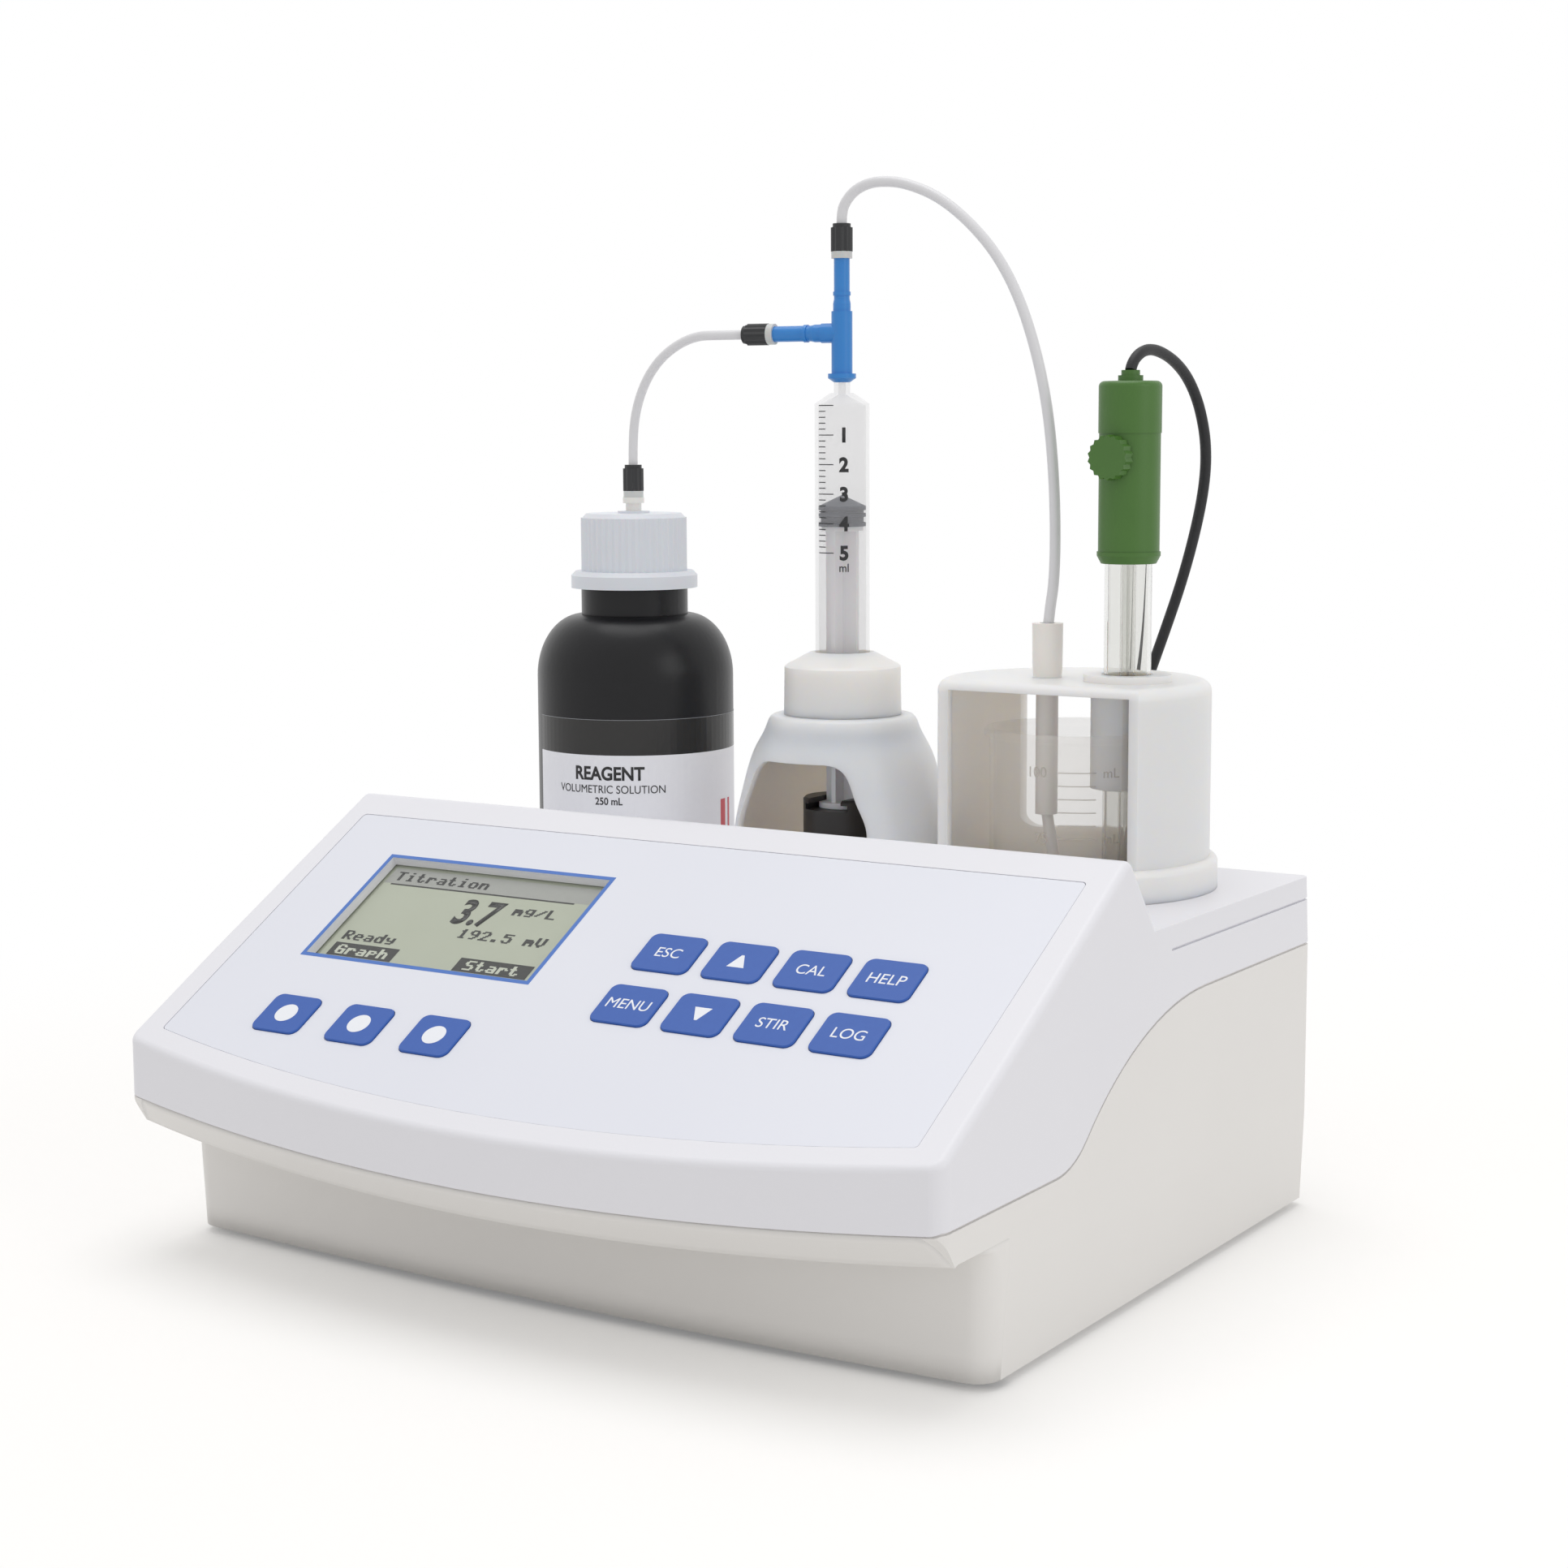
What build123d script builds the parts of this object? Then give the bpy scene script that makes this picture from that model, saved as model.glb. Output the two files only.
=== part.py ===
from build123d import *
import os
from math import atan2, cos, degrees, hypot, pi, radians, sin, sqrt, tan

# Automatic titrator: a desk instrument with a stepped moulded case, a keypad on its slope, and on its
# deck a reagent bottle, a syringe pump under a bell-shaped dome and a beaker holder with an electrode.
# Millimetres, +Z up, front towards -Y. The origin is on the table, at the centre of the case's box.

os.makedirs("parts", exist_ok=True)

# ---- case ---------------------------------------------------------------------------------------
CASE_WIDTH = 235.0
SIDE_DEPTH = 197.0  # from the front corners to the rear wall
FRONT_BOW = 11.5  # how far the front swells forward of its corners
WALL = 2.5
FOOT_HEIGHT = 2.0
FOOT_DIAMETER = 14.0
FRONT_CORNER_R = 4.0
REAR_CORNER_R = 3.0
PANEL_RISE = 0.5776  # slope of the keypad panel, rise over run
BAND_TOP_Z = 55.6  # where the panel's plane meets the front corners
RIDGE_BACK = 90.35  # distance of the ridge behind the front corners
DECK_Z = 88.7
DECK_BACK = 103.5  # foot of the ridge's rear slope, behind the front corners
DECK_SEAM_BACK = 111.1  # front edge of the separate deck plate
DECK_SEAM_Z = 82.6
PARTING_FRONT_Z = 41.3
PARTING_REAR_Z = 71.4
PARTING_REAR_BACK = 130.0  # where the S-curve becomes level again
PARTING_SLOPE = 0.42  # the parting falls forward of the fold
FOLD_BACK = 1.0  # the fold, behind the front corners
BLEND_SMALL_R = 22.0
BLEND_LARGE_R = 96.0
BAND_HEIGHT = 8.0  # the lower shell's lip below the parting line
BAND_CHAMFER = 5.5
SETBACK = 26.2  # the lower front wall, behind the front corners
SETBACK_BOW = 8.4
LOWER_DRAFT = 2.0
UPPER_DRAFT = 2.0
RIDGE_R = 2.5
EDGE_R = 2.0
GROOVE = 0.6
SEAM_DEPTH = 0.7

REAR_Y = (SIDE_DEPTH + FRONT_BOW) / 2
CORNER_Y = REAR_Y - SIDE_DEPTH
HALF_W = CASE_WIDTH / 2
RIDGE_Z = BAND_TOP_Z + PANEL_RISE * RIDGE_BACK
FLOOR_Z = FOOT_HEIGHT + WALL
DECK_UNDER = DECK_Z - WALL
LIP_UNDER_Z = PARTING_FRONT_Z - BAND_HEIGHT

# ---- keypad panel, measured up the slope from the front corners -----------------------------------
OVERLAY_HALF_W = 109.3
OVERLAY_LOW = 4.5
OVERLAY_HIGH = 94.2
OVERLAY_BOW = 11.3
OVERLAY_RECESS = 0.8
OVERLAY_THICK = 0.7
KEY_LENGTH = 16.2
KEY_DEPTH = 13.2
KEY_CORNER = 2.3
KEY_THICK = 0.7
KEY_PROUD = 0.45
KEY_TRAVEL = 0.5
KEY_GAP = 0.15
KEY_STEM = 6.0
STEM_LENGTH = 5.2
STEM_CLEARANCE = 0.4
KEY_FIRST_X = 16.6
KEY_PITCH = 20.1
KEY_ROW_HIGH = 53.5
KEY_ROW_LOW = 34.5
SOFT_LENGTH = 14.8
SOFT_FIRST_X = -75.9
SOFT_PITCH = 23.6
SOFT_ROW = 15.6
SCREEN_X = -51.7
SCREEN_UP = 58.0
FRAME_W = 73.4
FRAME_H = 41.8
FRAME_BAR = 1.2
WINDOW_THICK = 0.6
SCREEN_DROP = 3.0  # the glass of the display lies this far below the panel
SCREEN_THICK = 4.0
BOARD_THICK = 1.6
SWITCH_HEIGHT = 1.5
SWITCH_GAP = 0.2

# ---- stations on the deck ------------------------------------------------------------------------
STATION_BACK = 152.0
PUMP_X, PUMP_Y = 0.0, CORNER_Y + STATION_BACK
BOTTLE_X, BOTTLE_Y = -69.0, CORNER_Y + STATION_BACK
HOLDER_X, HOLDER_Y = 68.6, CORNER_Y + STATION_BACK + 2.4

# bottle
BOTTLE_D = 55.4
BOTTLE_WALL = 1.4
BOTTLE_SEAT_Z = 74.8
BOTTLE_BODY_Z = 137.0
BOTTLE_NECK_D = 30.0
BOTTLE_NECK_Z = 154.4
BOTTLE_FINISH_D = 25.0
BOTTLE_FINISH_Z = 180.0
CAP_SKIRT_D = 35.6
CAP_SKIRT_Z = 161.8
CAP_SKIRT_H = 4.7
CAP_D = 29.8
CAP_TOP_Z = 182.6
CAP_RIBS = 48
CAP_RIB_DEPTH = 0.35
LUER_D = 4.4
LUER_TOP_Z = 187.0
BOTTLE_FIT = 0.4
DIP_TUBE_D = 3.0

# pump dome, collar and syringe
DOME_TOP_Z = 129.5
DOME_PROFILE = [(30.6, 88.7), (29.2, 100.3), (26.9, 110.5), (23.5, 120.9), (20.6, 126.6)]
DOME_TOP_R = 18.3
DOME_WALL = 2.0
DOME_WINDOW_TOP = 118.3
DOME_WINDOW_BASE = 93.0
DOME_WINDOW_HALF = 20.4
DOME_WINDOW_FLAT = 8.0
COLLAR_D = 31.4
COLLAR_EDGE_Z = 143.0
COLLAR_TOP_Z = 146.3
BARREL_D = 14.7
BARREL_BORE = 12.8
BARREL_TOP_Z = 212.6
SHOULDER_Z = 215.4
NOZZLE_D = 4.4
NOZZLE_BORE = 2.0
NOZZLE_TOP_Z = 219.3
BARREL_FLANGE_D = 21.0
BARREL_FLANGE_Z = 134.9
BARREL_FLANGE_H = 2.0
STOPPER_EDGE_Z = 185.4
STOPPER_TIP = 3.0
STOPPER_BASE_Z = 180.0
STOPPER_FIT = 0.04
PLUNGER_RIB = 1.3
PLUNGER_W = 9.6
PLUNGER_FOOT_D = 13.0
PLUNGER_FOOT_H = 1.5
PISTON_D = 21.5
PISTON_TOP_Z = 107.0
PISTON_BASE_Z = 56.0
PISTON_LIP = 1.4
PISTON_FIT = 0.05
STROKE_UP = 26.0
STROKE_DOWN = 12.0
SCREW_TOP_Z = PISTON_BASE_Z + STROKE_UP + 4

# pump drive under the deck
NUT_H = 8.0
NUT_LENGTH = 48.0
NUT_WIDTH = 16.0
SCREW_D = 8.0
SCREW_FIT = 0.06
SCREW_RELIEF = 2.0
ROD_D = 4.0
ROD_OFFSET = 18.5
ROD_FIT = 0.05
PUMP_FRAME_HALF = 30.0
PUMP_FRAME_DEPTH = 42.0
PUMP_PLATE = 3.0
MOTOR_TOP_Z = 31.0
MOTOR_SIDE = 35.0
MOTOR_HEIGHT = 24.0
MOTOR_BOSS_D = 22.0
MOTOR_BOSS_H = 2.0

# T-valve and its fittings
VALVE_FLANGE_D = 7.5
VALVE_BODY_D = 5.6
VALVE_ARM_Z = 231.2
VALVE_BODY_TOP = 236.9
VALVE_NECK_D = 4.7
VALVE_TIP_D = 4.2
VALVE_NECK_L = 5.1
VALVE_TIP_L = 8.7
FERRULE_D = 5.6
FERRULE_L = 1.8
TUBE_NUT_D = 5.8
TUBE_NUT_L = 7.3
NUT_RIBS = 12
SIDE_ARM_TURN = 188.9  # direction of the side arm in plan, degrees from +X
SIDE_NECK_BACK = 5.7  # from the body's axis to the arm's first step

# beaker holder
HOOD_R = 35.1
HOOD_FLAT = 20.9  # the flat front, forward of the centre
HOOD_WALL = 2.5
HOOD_TOP_Z = 142.0
HOOD_EDGE_R = 3.0
FLANGE_R = 37.2
FLANGE_TOP_Z = 97.0
WINDOW_HALF = 25.6
REAR_WINDOW_HALF = 26.0
REAR_WINDOW_BASE = 98.7
ELECTRODE_OUT = 15.0  # from the holder's centre towards +X
TIP_OUT = -7.8
GUIDE_D = 18.4
GUIDE_BASE_Z = 114.7
RING_D = 22.4
RING_H = 1.8
WELL_D = 48.4
WELL_FLOOR_Z = 52.8
WELL_WALL = 1.6
WELL_BACK = 2.5  # the beaker stands behind the hood's centre
WELL_Y = HOLDER_Y + WELL_BACK

# beaker and stirrer
BEAKER_BORE = 43.6
BEAKER_WALL = 1.1
BEAKER_TOP_Z = 129.2
BEAKER_RIM_D = 48.6
BEAKER_RIM_H = 2.4
BEAKER_BASE = 1.5
BAR_LENGTH = 20.0
BAR_D = 6.0
BAR_CLEARANCE = 0.3
ROTOR_D = 26.0
ROTOR_H = 4.0
ROTOR_GAP = 0.8
MAGNET_D = 8.0
MAGNET_H = 2.6
MAGNET_OFFSET = 7.5
STIR_MOTOR_D = 24.0
STIR_MOTOR_H = 20.0
STIR_SHAFT_D = 3.0
BRACKET_THICK = 2.0

# electrode
GLASS_D = 12.0
GLASS_WALL = 1.0
GLASS_BASE_Z = 66.0
ELECTRODE_RING_Z = 171.9
ELECTRODE_RING_H = 3.0
ELECTRODE_BODY_D = 15.5
ELECTRODE_CAP_Z = 204.6
ELECTRODE_CAP_D = 15.9
ELECTRODE_TOP_Z = 217.6
ELECTRODE_FIT = 0.35
INNER_TUBE_D = 4.0
WIRE_D = 0.8
KNOB_Z = 198.6
KNOB_D = 11.3
KNOB_FACE = 11.1
KNOB_TEETH = 18
KNOB_TURN = -95.0  # direction of the filling screw in plan, degrees from +X
RELIEF_D = 6.3
RELIEF_Z = 220.3

# dispensing tip
SLEEVE_D = 7.8
SLEEVE_FOOT_D = 6.2
SLEEVE_TOP_Z = 156.0
STEM_D = 5.8
STEM_BASE_Z = 106.3
TIP_D = 3.0
TIP_BASE_Z = 93.6

# rear connectors
BAY_HALF_W = 82.0
BAY_BASE_Z = 14.0
BAY_TOP_Z = 56.0
BAY_DEPTH = 10.0
REAR_PLATE = 2.0
SOCKET_Z = 34.0
BNC_X = 30.0
PROBE_X = 68.0
USB_X = -8.0
POWER_X = -36.0
ROCKER_X = -63.0
BNC_D = 9.7
PROBE_BORE = 5.0
ROCKER_W = 13.0
ROCKER_H = 19.0
ROCKER_R = 8.0
ROCKER_SWING = 6.0

# cords
CABLE_D = 2.9
TUBE_D = 2.8
ASPIRATION_D = 2.6
PLUG_D = 14.4
PLUG_L = 24.0
COIL_MEAN_D = 32.0
COIL_TURNS_ACROSS = 3
COIL_LAYERS = 2
COIL_X = 56.0
COIL_BACK = 27.0


# ---- helpers -------------------------------------------------------------------------------------
FRONT_REACH = FRONT_BOW + 8  # past the front, for cutting blocks
FAR = 140.0  # beyond the case, for cutting blocks


def save(node, *solids):
    """Writes one node's solids to parts/."""
    flat = [solid for shape in solids for solid in shape.solids()]
    export_step(flat[0] if len(flat) == 1 else Compound(children=flat), f"parts/{node}.step")


def rod(x, y, low, high, diameter):
    return Pos(x, y, (low + high) / 2) * Cylinder(diameter / 2, high - low)


def ring(x, y, low, high, outer, inner):
    return rod(x, y, low, high, outer) - rod(x, y, low - 1, high + 1, inner)


def block(x0, x1, y0, y1, z0, z1):
    return Pos((x0 + x1) / 2, (y0 + y1) / 2, (z0 + z1) / 2) * Box(x1 - x0, y1 - y0, z1 - z0)


def lathe(x, y, points):
    """Turns a closed outline of (radius, height) about the upright axis at x, y."""
    return Pos(x, y, 0) * revolve(Plane.XZ * make_face(Polyline(*points, close=True)), Axis.Z)


def pad(width, height, low, high, corner=0.0):
    """A plate centred on its own frame, between two levels."""
    outline = RectangleRounded(width, height, corner) if corner else Rectangle(width, height)
    return Pos(0, 0, low) * extrude(outline, high - low)


def along_x(points, half=FAR):
    """A block whose outline of (distance behind the corners, height) runs right across the case."""
    outline = make_face(Polyline(*[(CORNER_Y + back, z) for back, z in points], close=True))
    return extrude(Plane.YZ * outline, half, both=True)


def on_panel(x, up, shape):
    """Places a shape, made in the panel's frame, at x and at a distance up the slope."""
    return PANEL.location * Pos(x, up, 0) * shape


PANEL = Plane(origin=(0, CORNER_Y, BAND_TOP_Z), x_dir=(1, 0, 0), z_dir=(0, -PANEL_RISE, 1))


# ---- the case's outer form, made at any inset, so that walls follow it ----------------------------
def plan(inset, back=0.0, bow=FRONT_BOW):
    """The case seen from above: straight sides, a bowed front and rounded corners."""
    half, rear, front = HALF_W - inset, REAR_Y - inset, CORNER_Y + back + inset
    bowed = ThreePointArc((-half, front), (0, front - bow), (half, front))
    sides = Polyline((half, front), (half, rear), (-half, rear), (-half, front))
    face = make_face([bowed, sides])
    face = fillet(face.vertices().sort_by(Axis.Y)[:2], max(FRONT_CORNER_R - inset, 0.8))
    return fillet(face.vertices().sort_by(Axis.Y)[-2:], max(REAR_CORNER_R - inset, 0.8))


def drafted_prism(inset):
    """Plumb walls from the lip to the rear parting, drawn in slightly above and below."""
    low = fall(-FRONT_BOW, LIP_UNDER_Z, FOLD_BACK + BAND_CHAMFER)
    middle = extrude(Pos(0, 0, low) * plan(inset), PARTING_REAR_Z - low)
    above = extrude(Pos(0, 0, PARTING_REAR_Z) * plan(inset), RIDGE_Z + 5 - PARTING_REAR_Z, taper=UPPER_DRAFT)
    below = extrude(Pos(0, 0, low) * plan(inset), -low, taper=LOWER_DRAFT)
    return middle + above + below


def fall(back, level, fold=FOLD_BACK):
    """Height of a line that is level behind the fold and falls forward of it."""
    return level + PARTING_SLOPE * min(back - fold, 0)


def toe_space(inset):
    """The space under the front lip, ahead of the set-back lower wall."""
    under = LIP_UNDER_Z + inset
    back, fold = SETBACK + 10, FOLD_BACK + BAND_CHAMFER
    outline = [(-FRONT_REACH, -5), (back, -5), (back, under), (fold, under)]
    space = along_x(outline + [(-FRONT_REACH, fall(-FRONT_REACH, under, fold))])
    return space - extrude(Pos(0, 0, -6) * plan(inset, SETBACK, SETBACK_BOW), RIDGE_Z)


def case_volume(inset):
    side = make_face(
        Polyline(
            (CORNER_Y - FRONT_REACH, FOOT_HEIGHT),
            (REAR_Y + 5, FOOT_HEIGHT),
            (REAR_Y + 5, DECK_Z),
            (CORNER_Y + DECK_BACK, DECK_Z),
            (CORNER_Y + RIDGE_BACK, RIDGE_Z),
            (CORNER_Y - FRONT_REACH, BAND_TOP_Z - PANEL_RISE * FRONT_REACH),
            close=True,
        )
    )
    if inset:
        side = offset(side, -inset, kind=Kind.INTERSECTION)
    else:
        side = fillet(side.vertices().sort_by(Axis.Y)[-1], RIDGE_R)
    return extrude(Plane.YZ * side, FAR, both=True) & drafted_prism(inset)


def above_parting(drop=0.0):
    """Everything over the parting line: level, an S of two tangent arcs, and level again."""
    reach = BLEND_SMALL_R + BLEND_LARGE_R
    rise = PARTING_REAR_Z - PARTING_FRONT_Z
    start = PARTING_REAR_BACK - sqrt(reach**2 - (reach - rise) ** 2)
    share = BLEND_SMALL_R / reach
    first = Vector(CORNER_Y + start, PARTING_FRONT_Z)
    last = Vector(CORNER_Y + PARTING_REAR_BACK, PARTING_REAR_Z)
    small_centre = first + Vector(0, BLEND_SMALL_R)
    large_centre = last - Vector(0, BLEND_LARGE_R)
    meet = small_centre + (large_centre - small_centre) * share
    rising = TangentArc(first, meet, tangent=(1, 0))
    settling = TangentArc(meet, last, tangent=rising % 1)
    front = CORNER_Y - FRONT_REACH
    lead = Polyline(
        (front, FAR), (front, fall(-FRONT_REACH, PARTING_FRONT_Z)), (CORNER_Y + FOLD_BACK, PARTING_FRONT_Z), first
    )
    close_up = Polyline(last, (REAR_Y + 9, PARTING_REAR_Z), (REAR_Y + 9, FAR), (front, FAR))
    face = make_face([lead, rising, settling, close_up])
    return extrude(Plane.YZ * (Pos(0, -drop) * face), FAR, both=True)


def lip_chamfer():
    """What is cut off the lip's front so that it leans back towards the set-back wall."""
    sweep_r = (HALF_W**2 + FRONT_BOW**2) / (2 * FRONT_BOW)
    half = HALF_W + 20
    end = sweep_r - FRONT_BOW - sqrt(sweep_r**2 - half**2)
    parting = Plane(
        origin=(0, CORNER_Y, fall(0, PARTING_FRONT_Z)), x_dir=(1, 0, 0), z_dir=(0, -PARTING_SLOPE, 1)
    )
    stretch = hypot(1, PARTING_SLOPE)
    bowed = ThreePointArc((-half, end * stretch), (0, -FRONT_BOW * stretch), (half, end * stretch))
    back = Polyline((half, end * stretch), (half, 60), (-half, 60), (-half, end * stretch))
    lean = Vector(0, BAND_CHAMFER, -BAND_HEIGHT)
    kept = extrude(parting * make_face([bowed, back]), lean.length * 1.5, dir=lean.normalized())
    high, low, back = PARTING_FRONT_Z + 1, LIP_UNDER_Z - 1, SETBACK / 2
    band = [(-FRONT_REACH, fall(-FRONT_REACH, high)), (FOLD_BACK, high), (back, high), (back, low)]
    return along_x(band + [(-FRONT_REACH, fall(-FRONT_REACH, low - BAND_CHAMFER))]) - kept


# ---- case shells ---------------------------------------------------------------------------------
def rounded_outer():
    """The outer form with soft edges round the front and sides of the panel."""
    outer = case_volume(0)
    lean = PANEL_RISE / hypot(1, PANEL_RISE)
    panel = [f for f in outer.faces() if abs(f.normal_at().Y + lean) < 1e-3][0]
    edges = [e for e in panel.edges() if e.center().Y < CORNER_Y + RIDGE_BACK - RIDGE_R]
    return fillet(edges, EDGE_R)


OUTER = rounded_outer() - toe_space(0)
INNER = case_volume(WALL) - toe_space(WALL)
SKIN = OUTER - INNER
SEAM = OUTER - (case_volume(SEAM_DEPTH) - toe_space(SEAM_DEPTH))
ABOVE = above_parting()
ROOM = case_volume(WALL - 0.3) - toe_space(WALL - 0.3)
DECK_ZONE = block(-FAR, FAR, CORNER_Y + DECK_SEAM_BACK, FAR, DECK_SEAM_Z, FAR)

BOARD_STANDOFFS = [(x, 12.0) for x in (-95.0, 95.0)] + [(x, 58.0) for x in (-98.0, 98.0)]
CASE_SCREWS = [(x, y) for x in (-HALF_W + 9, HALF_W - 9) for y in (CORNER_Y + 42, REAR_Y - 12)]
BOSS_D = 8.0
SCREW_SHANK = 3.0
SCREW_HOLE = 3.3
SCREW_HEAD = 5.6
HEAD_SINK = 6.0
BOARD_Z = 14.0
BOARD_SCREW = 2.2
BOARD_W, BOARD_L = 120.0, 62.0
BOARD_Y = CORNER_Y + 74.0
BOARD_POSTS = [(x, BOARD_Y + y) for x in (-BOARD_W / 2 + 5, BOARD_W / 2 - 5) for y in (-26, 26)]
BOSS_MEET_Z = 42.0
THREAD_DEPTH = 14.0


def overlay_outline(shrink=0.0):
    """The keypad overlay's outline on the panel: straight top and sides, a bowed lower edge."""
    half, low, high = OVERLAY_HALF_W - shrink, OVERLAY_LOW + shrink, OVERLAY_HIGH - shrink
    bowed = ThreePointArc((-half, low), (0, low - OVERLAY_BOW), (half, low))
    rest = Polyline((half, low), (half, high), (-half, high), (-half, low))
    face = make_face([bowed, rest])
    return fillet(face.vertices(), 1.2)


def keys():
    """Name, centre across, centre up the slope and length of every key."""
    top = ["key_esc", "key_up", "key_cal", "key_help"]
    low = ["key_menu", "key_down", "key_stir", "key_log"]
    rows = [(name, KEY_FIRST_X + KEY_PITCH * i, KEY_ROW_HIGH, KEY_LENGTH) for i, name in enumerate(top)]
    rows += [(name, KEY_FIRST_X + KEY_PITCH * i, KEY_ROW_LOW, KEY_LENGTH) for i, name in enumerate(low)]
    soft = ["softkey_left", "softkey_middle", "softkey_right"]
    rows += [(name, SOFT_FIRST_X + SOFT_PITCH * i, SOFT_ROW, SOFT_LENGTH) for i, name in enumerate(soft)]
    return rows


VIEW_W, VIEW_H = FRAME_W - 2 * FRAME_BAR, FRAME_H - 2 * FRAME_BAR
BOARD_DROP = STEM_LENGTH + SWITCH_GAP + KEY_TRAVEL + SWITCH_HEIGHT - KEY_PROUD + KEY_THICK
KEY_BOARD_W, KEY_BOARD_H = 204.0, 54.0
KEY_BOARD_UP = 35.0


def upper_case():
    shell = (SKIN & ABOVE) - DECK_ZONE
    shell -= PANEL.location * Pos(0, 0, -OVERLAY_RECESS) * extrude(overlay_outline(), OVERLAY_RECESS + 5)
    shell -= on_panel(SCREEN_X, SCREEN_UP, pad(VIEW_W, VIEW_H, -WALL - 3, 1))
    for _, x, up, _ in keys():
        shell -= on_panel(x, up, Pos(0, 0, -WALL) * Cylinder(KEY_STEM / 2 + STEM_CLEARANCE, 3 * WALL))
    posts = BOARD_DROP - WALL
    for x, up in BOARD_STANDOFFS:
        shell += on_panel(x, up, Pos(0, 0, -WALL - posts / 2 + 0.2) * Cylinder(3, posts + 0.4))
    for x, y in CASE_SCREWS:
        side = HALF_W if x > 0 else -HALF_W
        web = block(min(x, side), max(x, side), y - 1, y + 1, BOSS_MEET_Z, RIDGE_Z)
        boss = (rod(x, y, BOSS_MEET_Z, RIDGE_Z, BOSS_D) + web) & (INNER + (ROOM & ABOVE))
        shell += boss & ABOVE if y < 0 else boss & block(-FAR, FAR, 0, FAR, 0, DECK_SEAM_Z)
        shell -= rod(x, y, BOSS_MEET_Z - 1, BOSS_MEET_Z + THREAD_DEPTH, SCREW_SHANK)
    return shell


def lower_case():
    shell = (SKIN - ABOVE) - lip_chamfer()
    shell -= (above_parting(GROOVE) & SEAM)
    for x, y in CASE_SCREWS:
        shell += rod(x, y, FOOT_HEIGHT, BOSS_MEET_Z, BOSS_D)
        shell -= rod(x, y, 0, BOSS_MEET_Z + 1, SCREW_HOLE)
        shell -= rod(x, y, 0, FOOT_HEIGHT + HEAD_SINK, SCREW_HEAD + 0.6)
    for x, y in BOARD_POSTS:
        shell += rod(x, y, FOOT_HEIGHT + 1, BOARD_Z, 6) - rod(x, y, FLOOR_Z, BOARD_Z + 1, BOARD_SCREW)
    rear, back = REAR_Y, REAR_Y - BAY_DEPTH - REAR_PLATE
    wall = 2.0
    outer = block(-BAY_HALF_W - wall, BAY_HALF_W + wall, back - wall, rear - 1, BAY_BASE_Z - wall, BAY_TOP_Z + wall)
    shell += outer
    shell -= block(-BAY_HALF_W, BAY_HALF_W, back, rear + 2, BAY_BASE_Z, BAY_TOP_Z)
    lip = 4.0
    return shell - block(
        -BAY_HALF_W + lip, BAY_HALF_W - lip, back - 3 * wall, rear, BAY_BASE_Z + lip, BAY_TOP_Z - lip
    )


def feet():
    spots = [(x, y) for x in (-HALF_W + 22, HALF_W - 22) for y in (CORNER_Y + 54, REAR_Y - 20)]
    pads = [rod(x, y, 0, FOOT_HEIGHT, FOOT_DIAMETER) for x, y in spots]
    save("rubber_feet", *[fillet(p.edges().group_by(Axis.Z)[0], 0.8) for p in pads])


def screws():
    """Four long screws that close the case and four short ones that hold the main board."""
    seat = FOOT_HEIGHT + HEAD_SINK
    pieces = []
    for x, y in CASE_SCREWS:
        screw = rod(x, y, seat - 2.4, seat, SCREW_HEAD) + rod(x, y, seat, BOSS_MEET_Z + 12, SCREW_SHANK)
        pieces.append(screw - rod(x, y, seat - 3, seat - 1.2, 2.6))
    top = BOARD_Z + BOARD_THICK
    for x, y in BOARD_POSTS:
        pieces.append(rod(x, y, top, top + 2, 5) + rod(x, y, FLOOR_Z + 2, top + 1, BOARD_SCREW))
    save("assembly_screws", *pieces)


def deck_plate():
    plate = SKIN & DECK_ZONE
    plate -= block(-FAR, FAR, DECK_ZONE.bounding_box().min.Y - 1, FAR, 0, DECK_SEAM_Z + GROOVE) & SEAM
    plate += rod(BOTTLE_X, BOTTLE_Y, BOTTLE_SEAT_Z - 2, DECK_Z - 1, BOTTLE_D + 2 * BOTTLE_FIT + 4)
    plate -= rod(BOTTLE_X, BOTTLE_Y, BOTTLE_SEAT_Z, DECK_Z + 1, BOTTLE_D + 2 * BOTTLE_FIT)
    plate += rod(HOLDER_X, WELL_Y, WELL_FLOOR_Z - WELL_WALL, DECK_Z - 1, WELL_D + 2 * WELL_WALL)
    plate -= rod(HOLDER_X, WELL_Y, WELL_FLOOR_Z, DECK_Z + 1, WELL_D)
    return plate - rod(PUMP_X, PUMP_Y, DECK_UNDER - 1, DECK_Z + 1, PISTON_D + 3)


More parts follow.
